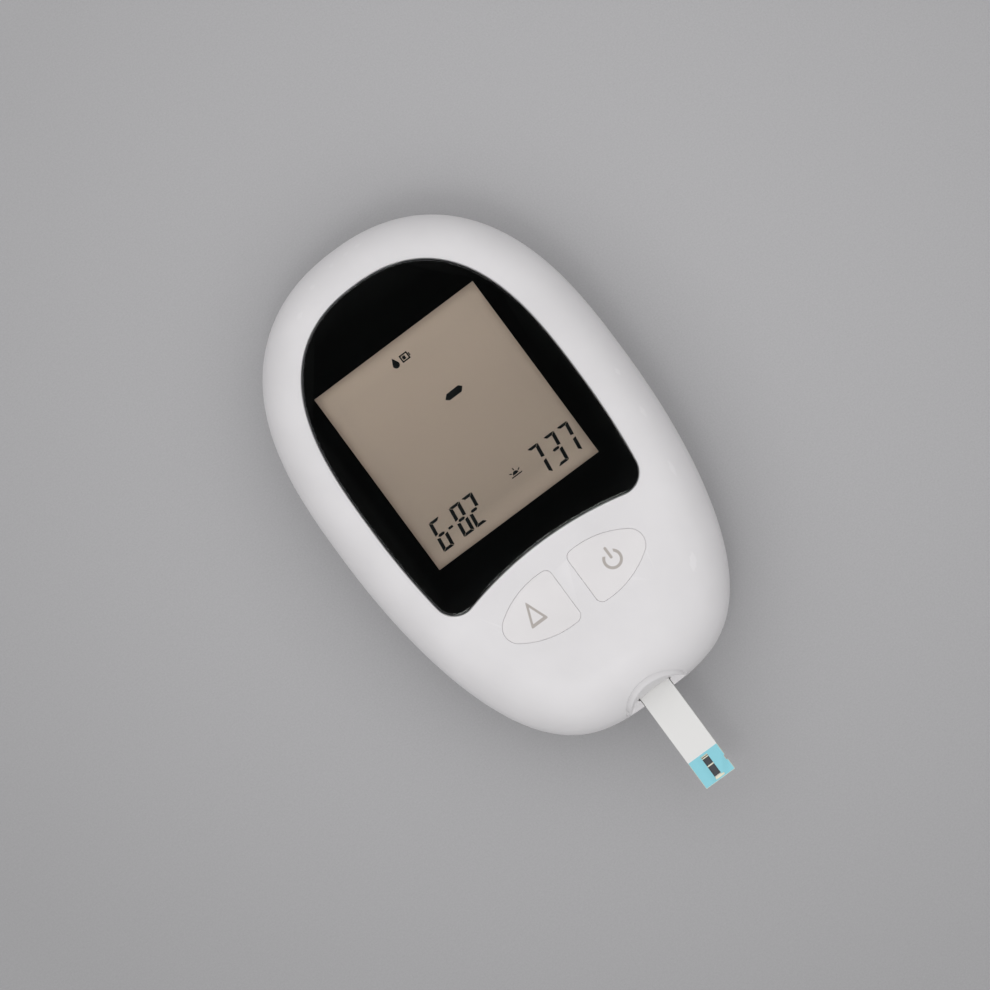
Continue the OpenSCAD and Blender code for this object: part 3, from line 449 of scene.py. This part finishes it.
def clear(name, tint, ior):
    """Clear plate with a very slightly uneven tint."""
    finish = Finish(name, tint, 0.0, IOR=ior)
    finish.set("Transmission Weight", 1.0)
    finish.link(finish.ramp(finish.noise(60, 3), *shades(tint, 0.01)), "Base Color")
    return finish.material


UNCHANGED, GRAIN_DARK = (1.0, 1.0, 1.0), (0.90, 0.90, 0.90)   # factors that a colour is multiplied by

DISPLAY_PAINTED_LIGHT = (   # painted light along the display's edges, against the shade that the window's edges cast on it: direction, edge of the window, width of the paler band inside it, factor at the edge
    ((0, -1, 0), -WINDOW_Y0, 4.0, 1.4),
    ((0, 1, 0), WINDOW_Y1, 4.0, 1.12),
    ((1, 0, 0), WINDOW_X, 2.5, 1.12),
    ((-1, 0, 0), WINDOW_X, 2.5, 1.12),
)


def display_grey(name, color):
    """Display seen through its polariser: a fine grain, paler towards the top, and painted light along its
    edges that lifts the shade the window casts there.
    """
    finish = Finish(name, color, 0.6)
    low, high = shades(color, 0.16)
    shaded = finish.ramp(finish.along((0, 1, 0)), low, high, WINDOW_Y0 * MM, WINDOW_Y1 * MM)
    grain = finish.ramp(finish.noise(5000, 2), GRAIN_DARK, UNCHANGED, 0.35, 0.65)
    shaded = finish.multiply(shaded, grain)
    # painted light: each edge of the display is made paler, in place of the light that the window's edges shade
    # off
    for direction, end, width, gain in DISPLAY_PAINTED_LIGHT:
        painted_light = finish.ramp(finish.along(direction), UNCHANGED, (gain, gain, gain), (end - width) * MM, end * MM)
        shaded = finish.multiply(shaded, painted_light)
    finish.link(shaded, "Base Color")
    finish.link(finish.ramp(finish.noise(300, 2), 0.55, 0.65), "Roughness")
    finish.bump(finish.noise(6000, 2), 2e-6)
    return finish.material


CASE = plastic("case_white", (0.70, 0.69, 0.695), 0.40)
CAP = plastic("button_white", (0.715, 0.70, 0.70), 0.38)
LENS = clear("lens_clear", (0.93, 0.94, 0.93), 1.49)
FILM = plastic("film_black", (0.0018, 0.0021, 0.0021), 0.6, vary=0.2, depth=1e-6, Specular_IOR_Level=0.0)
GLASS = clear("display_glass", (0.95, 0.97, 0.96), 1.52)
LCD = display_grey("polariser_grey", (0.64, 0.514, 0.413))
INK = plastic("display_ink", (0.003, 0.005, 0.006), 0.7, vary=0.1, Specular_IOR_Level=0.1)
MARK = plastic("mark_ink", (0.40, 0.37, 0.345), 0.6, vary=0.05)
STRIP = plastic("strip_white", (0.70, 0.70, 0.685), 0.45, vary=0.01, depth=1e-6)
BLUE = plastic("tip_blue", (0.235, 0.58, 0.66), 0.35, vary=0.03, depth=1e-6)
CREAM = plastic("spacer_cream", (0.78, 0.74, 0.58), 0.5, vary=0.04)
CARBON = plastic("track_carbon", (0.035, 0.038, 0.045), 0.5, vary=0.2)

SWITCH = plastic("switch_black", (0.02, 0.02, 0.022), 0.45)
PLUNGER = plastic("plunger_red", (0.4, 0.03, 0.02), 0.4)
JACKET = plastic("cell_jacket", (0.03, 0.07, 0.055), 0.3, vary=0.1, Metallic=0.4)
NICKEL = metal("nickel_plate", (0.7, 0.68, 0.64), 0.3)
STEEL = metal("screw_steel", (0.5, 0.5, 0.52), 0.35)

CAD_FINISHES = {
    "display_gasket": plastic("gasket_foam", (0.02, 0.02, 0.02), 0.85, depth=2e-5, grain=4000),
    "lcd_polariser": LCD,
    "lcd_front_glass": GLASS,
    "lcd_rear_glass": GLASS,
    "lcd_reflector": metal("reflector_foil", (0.62, 0.6, 0.56), 0.35),
    "lcd_frame": plastic("frame_white", (0.8, 0.8, 0.78), 0.5),
    "zebra_connector": plastic("elastomer_pink", (0.6, 0.22, 0.27), 0.6),
    "main_board": plastic("board_green", (0.015, 0.16, 0.06), 0.3, vary=0.15),
    "controller_chip": plastic("chip_black", (0.02, 0.02, 0.022), 0.55),
    "board_parts": plastic("parts_tan", (0.3, 0.22, 0.13), 0.45, vary=0.2),
    "buzzer": plastic("buzzer_black", (0.015, 0.015, 0.015), 0.3),
    "left_switch": SWITCH,
    "right_switch": SWITCH,
    "left_plunger": PLUNGER,
    "right_plunger": PLUNGER,
    "strip_port": plastic("port_grey", (0.05, 0.05, 0.055), 0.5),
    "strip_contacts": metal("contact_gold", (0.9, 0.65, 0.28), 0.25),
    "left_cell": JACKET,
    "right_cell": JACKET,
    "bridge_contact": NICKEL,
    "plus_contact": NICKEL,
    "minus_contact": NICKEL,
    "battery_springs": NICKEL,
    "case_screws": STEEL,
    "board_screws": STEEL,
}


def dress_cad():
    """Gives every CAD node that still shows its finish."""
    for name, finish in CAD_FINISHES.items():
        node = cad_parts[name]
        node.data.materials.clear()
        node.data.materials.append(finish)
        shade(node, CAD_SHARP)


# ---------- front case ----------

def body_turns():
    """Where the columns of the case stand: even all round, and close together at the port."""
    turns, strip_end, reach = even_turns(360), 0.5, 0.075
    near = np.linspace(strip_end - reach, strip_end + reach, 121)
    return np.unique(np.concatenate([turns[np.abs(turns - strip_end) > reach + 0.001], near]).round(9))


def front_outer():
    turns = body_turns()
    d, z = roll(56, 0, DOME_INSET, DOME_POWER, PART_Z, BODY_H - PART_Z)
    keep = z > PART_Z + 0.35
    d = np.concatenate([[SEAM, SEAM, 0.06], d[keep]])
    z = np.concatenate([[PART_Z, PART_Z + 0.08, PART_Z + 0.26], z[keep]])
    return solid("front_shell", [at_height(body_ring(a, turns), b) for a, b in zip(d, z)])


def front_hollow():
    """Space inside the front case, less the seat of the lens, the bosses, the posts and the port's wall."""
    turns = even_turns(120)
    d, z = roll(14, WALL, DOME_INSET, DOME_POWER, PART_Z, CEILING_Z - PART_Z)
    rings = [at_height(body_ring(WALL, turns), PART_Z - 1)]
    rings += [at_height(body_ring(a, turns), b) for a, b in zip(d, z)]
    return cut(
        solid("hollow", rings),
        prism("seat", lens_ring(-1.5), SEAT_Z, FILM_Z + 0.5),
        box((-PORT_WALL_X, -HALF_L - 1, PART_Z + LIP_H + PLAY), (PORT_WALL_X, PORT_WALL_Y, BODY_H)),
        *[rod(x, y, PART_Z - 2, BODY_H, BOSS_R) for x, y in CASE_SCREWS],
        *[rod(x, y, BOARD_TOP, FILM_Z + 0.5, BOARD_POST_R) for x, y in BOARD_SCREWS],
    )


def flared(ring_at, z0, gap, fillet, surface):
    """Cutter for a recess with a rounded rim.

    ring_at(g) is its outline grown by g, and surface(ring) gives the heights that it opens at.
    """
    rings = [at_height(ring_at(gap), z0)]
    for out, down in fillet_steps(fillet):
        ring = ring_at(gap + out)
        rings.append(at_height(ring, surface(ring) - down))
    rings.append(rings[-1] + [0, 0, 1.5])
    return solid("recess", rings)


def flared_down(ring_at, z1, gap, fillet):
    """The same for a recess in the base, which opens at height 0."""
    rings = [at_height(ring_at(gap + fillet), -1.5)]
    rings += [at_height(ring_at(gap + out), up) for out, up in fillet_steps(fillet)[::-1]]
    return solid("recess", rings + [at_height(ring_at(gap), z1)])


def rounded_path(path, cuts):
    """Path of point arrays with its inner points rounded off, each from cuts before it to cuts after it."""
    out = []
    for before, point, after, length in zip(path, path[1:], path[2:], cuts):
        ends = []
        for leg in (before - point, after - point):
            size = np.maximum(np.linalg.norm(leg, axis=-1, keepdims=True), 1e-6)
            ends.append(point + leg / size * np.minimum(length, 0.45 * size))
        out += [(1 - t) ** 2 * ends[0] + 2 * t * (1 - t) * point + t * t * ends[1]
                for t in np.linspace(0, 1, 6)]
    return out


def scoop():
    """Cutter for the port: a floor, a steep wall, and a narrow ledge under the rim that follows the dome."""
    x = SCOOP_HALF * np.sin(np.linspace(-np.pi / 2, np.pi / 2, 181))
    end = WIDEST_Y - LOW_L * (1 - np.abs(x / HALF_W) ** LOW_END) ** (1 / LOW_SIDE)

    def top(y):
        return dome_z(np.maximum(y - end, 0))

    def pair(y, z):
        return np.stack([y, np.broadcast_to(z, y.shape)], -1)

    rim = SCOOP_Y + np.sqrt(SCOOP_R ** 2 - x * x)
    ledge = rim - LEDGE_W
    foot = np.minimum(MOUTH_Y - MOUTH_R + np.sqrt(MOUTH_R ** 2 - x * x), ledge - 0.05)
    path = rounded_path([
        pair(foot - 2, SILL_Z),
        pair(foot, SILL_Z),
        pair(ledge, np.maximum(top(ledge) - 0.3, SILL_Z + 0.1)),
        pair(rim, np.maximum(top(rim) - LEDGE_STEP, SILL_Z + 0.2)),
        pair(rim, np.maximum(top(rim), SILL_Z + 0.3)),
        pair(rim + 1, np.maximum(top(rim + 1), SILL_Z + 0.4)),
    ], (0.45, 0.35, 0.06, 0.06))
    path.append(path[-1] + [0, 6])
    back = -HALF_L - 3
    rings = []
    for line in path:
        points = np.column_stack([x, line])
        rings.append(np.concatenate([[[x[0], back, line[0, 1]]], points, [[x[-1], back, line[-1, 1]]]]))
    return solid("scoop", rings)


def front_shell():
    shell = cut(
        front_outer(),
        front_hollow(),
        prism("groove", body_ring((WALL - PLAY) / 2, even_turns(180)), PART_Z - 1, PART_Z + LIP_H + PLAY),
    )
    add(shell, *[rod(x, y, REAR_BOSS_TOP + PLAY, PART_Z + 2, BOSS_R) for x, y in CASE_SCREWS])
    cut(
        shell,
        flared(lambda g: lens_ring(-g), FILM_Z, LENS_GAP, 0.10, lambda ring: dome_z(inset_of(ring))),
        box((-WINDOW_X - CASE_WINDOW, WINDOW_Y0 - CASE_WINDOW, SEAT_Z - 1),
            (WINDOW_X + CASE_WINDOW, WINDOW_Y1 + CASE_WINDOW, FILM_Z + 1)),
        *[flared(lambda g: button_ring(g, side), CEILING_Z - 1, BUTTON_GAP - 0.03, 0.05,
                 lambda ring: np.full(len(ring), BODY_H)) for side in (-1, 1)],
        scoop(),
        box((-SLOT_X, -HALF_L, SLOT_Z), (SLOT_X, PORT_WALL_Y + 1, SLOT_TOP)),
        *[rod(side * SLOT_X, MOUTH_Y - 0.1, SLOT_Z, SLOT_TOP + 0.35, 0.3, 20) for side in (-1, 1)],
        *[rod(x, y, REAR_BOSS_TOP - 1, SEAT_Z - 1, CASE_HOLE_R) for x, y in CASE_SCREWS],
        *[rod(x, y, BOARD_TOP - 1, SEAT_Z - 0.5, BOARD_HOLE_R) for x, y in BOARD_SCREWS],
    )
    return place(shell, "front_shell", "housing", CASE, ["front_case"])


# ---------- rear case and door ----------

def base_solid(turns):
    d, z = base_roll(48, 0, PART_Z)
    keep = z < PART_Z - 0.35
    d = np.concatenate([d[keep], [0, 0.05, 0.19, SEAM]])
    z = np.concatenate([z[keep], [PART_Z - 0.3, PART_Z - 0.2, PART_Z - 0.06, PART_Z]])
    return solid("base", [at_height(body_ring(a, turns), b) for a, b in zip(d, z)])


def door_outline(grow):
    return soft_polygon(rectangle(-DOOR_X - grow, DOOR_Y0 - grow, DOOR_X + grow, HALF_L + 1), 0.8 + grow)


def rear_shell():
    inner = even_turns(120)
    d, z = base_roll(14, WALL, PART_Z - WALL)
    rings = [at_height(body_ring(a, inner), b) for a, b in zip(d, z)]
    hollow = solid("hollow", rings + [at_height(body_ring(WALL, inner), PART_Z + 1)])
    bay_low, bay_high = (-BAY_X - BAY_WALL, BAY_Y0 - BAY_WALL), (BAY_X + BAY_WALL, BAY_Y1 + BAY_WALL)
    cut(
        hollow,
        box((*bay_low, -1), (*bay_high, PART_Z + 2)),
        box((-DOOR_X - 1.5, DOOR_Y0 - 1.5, -1), (DOOR_X + 1.5, HALF_L, LEDGE_TOP)),
        *[rod(x, y, -1, REAR_BOSS_TOP, REAR_BOSS_R) for x, y in CASE_SCREWS],
    )
    shell = cut(base_solid(even_turns(360)), hollow)
    lip = even_turns(180)
    add(
        shell,
        band(body_ring((WALL + PLAY) / 2, lip), body_ring(WALL - PLAY / 2, lip),
             PART_Z - LIP_H, PART_Z + LIP_H),
        box((*bay_low, PART_Z - LIP_H), (*bay_high, ROOF_Z + ROOF_T)),
    )
    cut(
        shell,
        box((-SLOT_X - 0.3, -HALF_L, SLOT_Z), (SLOT_X + 0.3, PORT_WALL_Y, PART_Z + 2)),
        box((-BAY_X, BAY_Y0, -1), (BAY_X, BAY_Y1, ROOF_Z)),
        flared_down(door_outline, LEDGE_Z, DOOR_GAP, 0.15),
        *[flared_down(lambda g: arc(x, y, HEAD_R + g, 0, 2 * math.pi, 72), HEAD_SEAT, 0, 0.25)
          for x, y in CASE_SCREWS],
        *[rod(x, y, HEAD_SEAT - 1, REAR_BOSS_TOP + 1, SHANK_R) for x, y in CASE_SCREWS],
        *[box((side * HOOK_X - HOOK_W / 2 - 0.2, y - 0.2, LEDGE_Z - 1),
              (side * HOOK_X + HOOK_W / 2 + 0.2, y + HOOK_L + DOOR_TRAVEL + 0.2, LEDGE_TOP + 1))
          for side in (-1, 1) for y in HOOK_YS],
        *[box((side * TAB_X - TAB_HALF, BAY_Y0 - 0.01, ROOF_Z - 1),
              (side * TAB_X + TAB_HALF, BAY_Y0 + 0.7, ROOF_Z + ROOF_T + 1)) for side in (-1, 1)],
    )
    return place(shell, "rear_shell", "housing", CASE, ["rear_case"])


def thumb_groove(y):
    """Cutter for one of the curved grooves that the thumb pushes on."""
    rise, reach = 16, 0.578
    rings = []
    for z, half in ((-1, 0.52), (-0.02, 0.50), (0.06, 0.42), (0.25, 0.36), (0.42, 0.26), (0.5, 0.10)):
        out = arc(0, y - rise, rise - 0.4 + half, math.pi / 2 - reach, math.pi / 2 + reach, 40)
        back = arc(0, y - rise, rise - 0.4 - half, math.pi / 2 + reach, math.pi / 2 - reach, 40)
        rings.append(at_height(np.concatenate([out, back]), z))
    return solid("groove", rings)


def door():
    rings = [at_height(door_outline(-inset), up) for inset, up in fillet_steps(0.2)[::-1]]
    plate = solid("plate", rings + [at_height(door_outline(0), DOOR_T)])
    combine(plate, [base_solid(even_turns(360))], "INTERSECT")
    top = LEDGE_TOP + 0.1
    for side in (-1, 1):
        x0, x1 = side * HOOK_X - HOOK_W / 2, side * HOOK_X + HOOK_W / 2
        for y in HOOK_YS:
            add(plate, box((x0, y, DOOR_T - 0.4), (x1, y + HOOK_L, top + HOOK_T)),
                box((x0, y - HOOK_FOOT, top), (x1, y + 0.01, top + HOOK_T)))
    cut(plate, *[thumb_groove(BAY_Y1 - 3.5 + 2 * k) for k in range(5)])
    arrow = soft_polygon([(-2.2, 21.5), (2.2, 21.5), (0, 25.3)], 0.4)
    cut(plate, prism("arrow", arrow, -1, 0.25))
    return place(plate, "door", "battery_door", CASE, ["battery_door"])


# ---------- display ----------

def lens():
    rings = [at_height(lens_ring(0), LENS_Z + 0.02)]
    rings += [at_height(lens_ring(inset), LENS_TOP - 0.02 - down)
              for inset, down in fillet_steps(LENS_EDGE_R, 10)]
    rings += [at_height(lens_ring(d), LENS_TOP - h) for d, h in ((0.34, 0.02), (0.4, 0.0))]
    return place(solid("lens", rings), "lens", "housing", LENS, ["display_lens"])


def film():
    sheet = prism("film", lens_ring(0.02), FILM_Z, LENS_Z)
    cut(sheet, box((-WINDOW_X, WINDOW_Y0, FILM_Z - 1), (WINDOW_X, WINDOW_Y1, LENS_Z + 1)))
    return place(sheet, "black_film", "housing", FILM, ["lens_film"])


SEGMENTS = {"2": "abdeg", "3": "abcdg", "6": "acdefg", "7": "abc", "8": "abcdefg"}


def segment(letter):
    """Corners of one segment of a digit centred on the origin. Upright strokes are wider than level ones."""
    x, y = 0.8, 2.52            # from the middle to the middle of the outer strokes
    u, v, gap = 0.32, 0.25, 0.05  # half widths of the upright and level strokes, and the gap at the corners
    if letter == "g":
        return [(-x + 0.1, 0), (-x + u + 0.05, -v), (x - u - 0.05, -v),
                (x - 0.1, 0), (x - u - 0.05, v), (-x + u + 0.05, v)]
    if letter in "ad":
        points = [(-x - u + 0.2, y + v), (-x - u + 0.16, y + v - 0.1), (-x + u, y - v),
                  (x - u, y - v), (x + u - 0.16, y + v - 0.1), (x + u - 0.2, y + v)]
    else:
        points = [(x + u, y + v - gap), (x - u, y - v - gap), (x - u, 0.36), (x + u, 0.22)]
    flip = [-1 if letter in "ef" else 1, -1 if letter in "cde" else 1]
    return [(px * flip[0], py * flip[1]) for px, py in points]


def glyph(text, x, y):
    """Plates of a slanted digit at a point of the display."""
    return [[(x + px + 0.125 * py, y + py) for px, py in segment(letter)] for letter in SEGMENTS[text]]


def capsule(x0, y0, x1, y1, t):
    """Outline of a line of even width with round ends."""
    a = math.atan2(y1 - y0, x1 - x0)
    return np.concatenate([
        arc(x1, y1, t / 2, a - math.pi / 2, a + math.pi / 2, 10),
        arc(x0, y0, t / 2, a + math.pi / 2, a + 3 * math.pi / 2, 10),
    ])


def curved_band(x, y, r, t, start, end, steps=40):
    """Outline of part of a ring, t wide."""
    a0, a1 = math.radians(start), math.radians(end)
    return np.concatenate([arc(x, y, r + t / 2, a0, a1, steps), arc(x, y, r - t / 2, a1, a0, steps)])


def printed(plates, z, thick=INK_T):
    """Thin plates, side by side, lying on a surface at height z."""
    parts = [prism("plate", np.array(ring, float), z, z + thick) for ring in plates]
    return join(parts)


def join(parts):
    bm = bmesh.new()
    for part in parts:
        bm.from_mesh(part.data)
    first = parts[0]
    bm.to_mesh(first.data)
    bm.free()
    for part in parts[1:]:
        bpy.data.objects.remove(part)
    return first


DIGITS = (("6", -13.1), ("8", -8.83), ("2", -6.2), ("7", 7.82), ("3", 11.22), ("7", 14.03))
DIGITS_Y = -3.3
SUN_X, SUN_Y = 3.25, -2.66
DROP_X, DROP_Y, DROP_R, DROP_TIP = -2.2, 24.42, 0.62, 25.75


def figures():
    """The display's digits, dashes and small signs."""
    plates = []
    for text, x in DIGITS:
        plates += glyph(text, x, DIGITS_Y)
    plates.append(rectangle(-11.61, -3.5, -10.69, -3.08))
    plates.append([(1.0, 14.6), (1.6, 14.1), (4.1, 14.1), (4.75, 14.8), (4.2, 15.35), (1.7, 15.3)])
    drop = arc(DROP_X, DROP_Y, DROP_R, math.radians(-210), math.radians(30), 24)
    plates.append(np.concatenate([drop, [[DROP_X, DROP_TIP]]]))
    plates += [rectangle(2.2, -2.98, 4.3, -2.78), curved_band(SUN_X, SUN_Y, 0.3, 0.6, 2, 178, 16)]
    for a in (30, 90, 150):
        x, y = math.cos(math.radians(a)), math.sin(math.radians(a))
        plates.append(capsule(SUN_X + 0.82 * x, SUN_Y + 0.82 * y, SUN_X + 1.1 * x, SUN_Y + 1.1 * y, 0.2))
    shapes = [printed(plates, LCD_TOP)]
    battery = band(np.array(rectangle(-1.05, 23.95, 0.55, 25.35)), np.array(rectangle(-0.8, 24.2, 0.3, 25.1)),
                   LCD_TOP, LCD_TOP + INK_T)
    terminal_and_charge = [rectangle(0.6, 24.35, 0.8, 24.95), rectangle(-0.68, 24.32, -0.1, 24.98)]
    shapes += [battery, printed(terminal_and_charge, LCD_TOP)]
    return place(join(shapes), "display_figures", "housing", INK)


# ---------- buttons ----------

def cap(side, name, node):
    fillet, grow, depth = 0.06, 0.03, 0.13          # depth of the fine groove round the cap
    rings = [at_height(button_ring(0.1, side), z) for z in (FLANGE_Z + 0.4, BODY_H - depth)]
    rings.append(at_height(button_ring(grow, side), BODY_H - depth + 0.01))
    rings += [at_height(button_ring(grow - inset, side), BODY_H - down) for inset, down in fillet_steps(fillet)]
    top = solid(name, rings)
    flange = prism("flange", button_ring(FLANGE_W, side), FLANGE_Z, FLANGE_Z + FLANGE_T)
    stem = rod(side * SWITCH_X, BUTTON_Y, STEM_Z, FLANGE_Z + 0.2, STEM_R)
    return place(add(top, flange, stem), name, node, CAP, [node])


def marks():
    """A triangle on the left button and a power symbol on the right one."""
    corners = np.array([(-10.05, -25.55), (-6.6, -25.55), (-8.3, -21.1)])
    middle = corners.mean(0)
    arrow = band(soft_polygon(corners, 0.35), soft_polygon(middle + (corners - middle) * 0.62, 0.12),
                 BODY_H, BODY_H + MARK_T)
    place(arrow, "left_mark", "left_button", MARK)
    power = printed([curved_band(8.0, -24.1, 1.5, 0.5, 125, 415), capsule(8.0, -23.7, 8.0, -21.9, 0.5)],
                    BODY_H, MARK_T)
    place(power, "right_mark", "right_button", MARK)


# ---------- test strip ----------

def sheet(x0, x1, y0, y1, z0, z1):
    """Sheet of the strip, with the small vent notch in its right edge where it reaches the tip."""
    v0, v1, deep = STRIP_Y0 + 2.0, STRIP_Y0 + 3.0, 0.25
    ring = [(x0, y0), (x1, y0)]
    if y0 < v0:
        ring += [(x1, v0), (x1 - deep, v0 + 0.1), (x1 - deep, v1 - 0.1), (x1, v1)]
    ring += [(x1, y1), (x0, y1)]
    return prism("sheet", np.array(ring, float), z0, z1)


def strip():
    half, channel = STRIP_W / 2, CHANNEL_W / 2
    end, tip_start, tip_inset = STRIP_Y0 + TIP_L - 0.4, STRIP_Y0 + 0.28, 0.06
    place(sheet(-half, half, STRIP_Y0, STRIP_Y1, STRIP_Z, TRACK_Z),
          "strip_sheet", "test_strip", STRIP, ["strip_base"])
    spacer = sheet(-half, half, STRIP_Y0, COVER_END, SPACER_Z, COVER_Z)
    cut(spacer, box((-channel, STRIP_Y0 + 0.75, SPACER_Z - 1), (channel, end, COVER_Z + 1)))
    lines = [box((-channel - 0.02, STRIP_Y0 + y0, TRACK_Z), (channel + 0.02, STRIP_Y0 + y1, SPACER_Z - 0.02))
             for y0, y1 in ((2.84, 3.04), (4.4, 4.56), (4.7, 4.86))]
    place(join([spacer, *lines]), "strip_glue", "test_strip", CREAM, ["strip_spacer"])
    cover = sheet(-half, half, STRIP_Y0 + TIP_L, COVER_END, COVER_Z, STRIP_TOP)
    place(cover, "strip_film", "test_strip", STRIP, ["strip_cover"])
    tip = sheet(-half + tip_inset, half - tip_inset, STRIP_Y0 + tip_inset, STRIP_Y0 + TIP_L, COVER_Z, STRIP_TOP)
    cut(tip, box((-channel, tip_start, COVER_Z - 1), (channel, end, STRIP_TOP + 1)),
        box((-channel - 0.05, tip_start, COVER_Z - 1), (channel + 0.45, STRIP_Y0 + 0.65, STRIP_TOP + 1)))
    place(tip, "strip_blue", "test_strip", BLUE, ["strip_tip"])

    pads, track_half, top = [], 0.35, SPACER_Z - 0.01
    for side, y0, y1 in ((-1, 0.9, 2.82), (1, 3.06, 4.38)):
        y0, y1, x = STRIP_Y0 + y0, STRIP_Y0 + y1, side * CONTACT_PITCH
        x0, x1 = x - track_half, x + track_half
        pad = box((-channel - 0.05, y0, TRACK_Z), (channel + 0.05, y1, top))
        add(pad, box((min(x0, -channel), y0 + 0.4, TRACK_Z), (max(x1, channel), y0 + 1.1, top)),
            box((x0, y0 + 0.4, TRACK_Z), (x1, STRIP_Y1 - 0.4, top)))
        pads.append(pad)
    pads.append(box((-channel, STRIP_Y0 + 4.57, TRACK_Z), (channel, STRIP_Y0 + 4.69, top)))
    place(join(pads), "printed_tracks", "test_strip", CARBON, ["strip_tracks"])


# ---------- stage ----------

RIGHT, UP = Vector((0.8032, -0.5957, 0)), Vector((0.5957, 0.8032, 0))   # the photograph's axes


def floor():
    """Pale grey sheet just under the meter, with painted shade: a little darker further out, and darker along
    -UP than along UP.
    """
    mesh = bpy.data.meshes.new("floor")
    r, z = 1.5, -2e-5
    mesh.from_pydata([(-r, -r, z), (r, -r, z), (r, r, z), (-r, r, z)], [], [(0, 1, 2, 3)])
    plane = bpy.data.objects.new("floor", mesh)
    bpy.context.scene.collection.objects.link(plane)
    color = (0.425, 0.425, 0.432)
    finish = Finish("paper_grey", color, 0.8)
    # painted falloff of light: the sheet paler along UP and darker along -UP
    shaded = finish.ramp(finish.along(UP + 0.2 * RIGHT), *shades(color, 0.08), -0.09, 0.09)
    grain = finish.ramp(finish.noise(3500, 4, 0.7), GRAIN_DARK, UNCHANGED, 0.35, 0.65)
    # painted shade: the sheet darker further out from the meter, like light falling off
    outer = finish.ramp(finish.distance(), UNCHANGED, (0.865, 0.865, 0.865), 0.05, 0.115)
    finish.link(finish.multiply(finish.multiply(shaded, grain), outer), "Base Color")
    finish.bump(finish.noise(2500, 3), 2e-5)
    mesh.materials.append(finish.material)


def lamp(name, location, target, size, power):
    light = bpy.data.lights.new(name, "AREA")
    light.shape, light.size, light.energy = "DISK", size, power
    holder = bpy.data.objects.new(name, light)
    bpy.context.scene.collection.objects.link(holder)
    holder.location = location
    holder.rotation_euler = (Vector(target) - Vector(location)).to_track_quat("-Z", "Y").to_euler()


def lights():
    """Soft light from all round, stronger from above, but dark overhead, and one large weak lamp."""
    world = bpy.data.worlds.new("studio")
    bpy.context.scene.world = world
    world.use_nodes = True
    nodes, links = world.node_tree.nodes, world.node_tree.links
    split = nodes.new("ShaderNodeSeparateXYZ")
    links.new(nodes.new("ShaderNodeTexCoord").outputs["Generated"], split.inputs[0])

    def ramp(start, end, low, high, kind):
        node = nodes.new("ShaderNodeMapRange")
        node.interpolation_type = kind
        for socket, value in (("From Min", start), ("From Max", end), ("To Min", low), ("To Max", high)):
            node.inputs[socket].default_value = value
        links.new(split.outputs["Z"], node.inputs["Value"])
        return node.outputs["Result"]

    strength = nodes.new("ShaderNodeMath")
    strength.operation = "MULTIPLY"
    links.new(ramp(0.0, 0.6, 0.27, 1.0, "LINEAR"), strength.inputs[0])
    links.new(ramp(0.978, 0.95, 0.015, 1.0, "SMOOTHSTEP"), strength.inputs[1])
    links.new(strength.outputs["Value"], nodes["Background"].inputs["Strength"])
    nodes["Background"].inputs["Color"].default_value = (1.10, 1.09, 1.10, 1)
    lamp("key", -0.28 * UP + Vector((0, 0, 0.80)), (0, 0, 0), 0.25, 0.6)


def camera():
    """Long lens from nearly overhead; lengths in millimetres."""
    tilt, distance, width = math.radians(6), 900, 169.2
    target = Vector((-2.38, -2.97, 11.0))
    back = RIGHT * math.sin(tilt) + Vector((0, 0, math.cos(tilt)))
    across = RIGHT * math.cos(tilt) - Vector((0, 0, math.sin(tilt)))
    data = bpy.data.cameras.new("camera")
    data.sensor_width, data.lens = 36, 36 * distance / width
    data.clip_start, data.clip_end = 0.05, 10
    view = bpy.data.objects.new("camera", data)
    bpy.context.scene.collection.objects.link(view)
    turn = Matrix((across, UP, back)).transposed().to_4x4()
    view.matrix_world = Matrix.Translation((target + back * distance) * MM) @ turn
    bpy.context.scene.camera = view


dress_cad()
front_shell()
rear_shell()
door()
lens()
film()
figures()
cap(-1, "left_cap", "left_button")
cap(1, "right_cap", "right_button")
marks()
strip()
floor()
lights()
camera()
bpy.context.scene.view_settings.view_transform = "Standard"
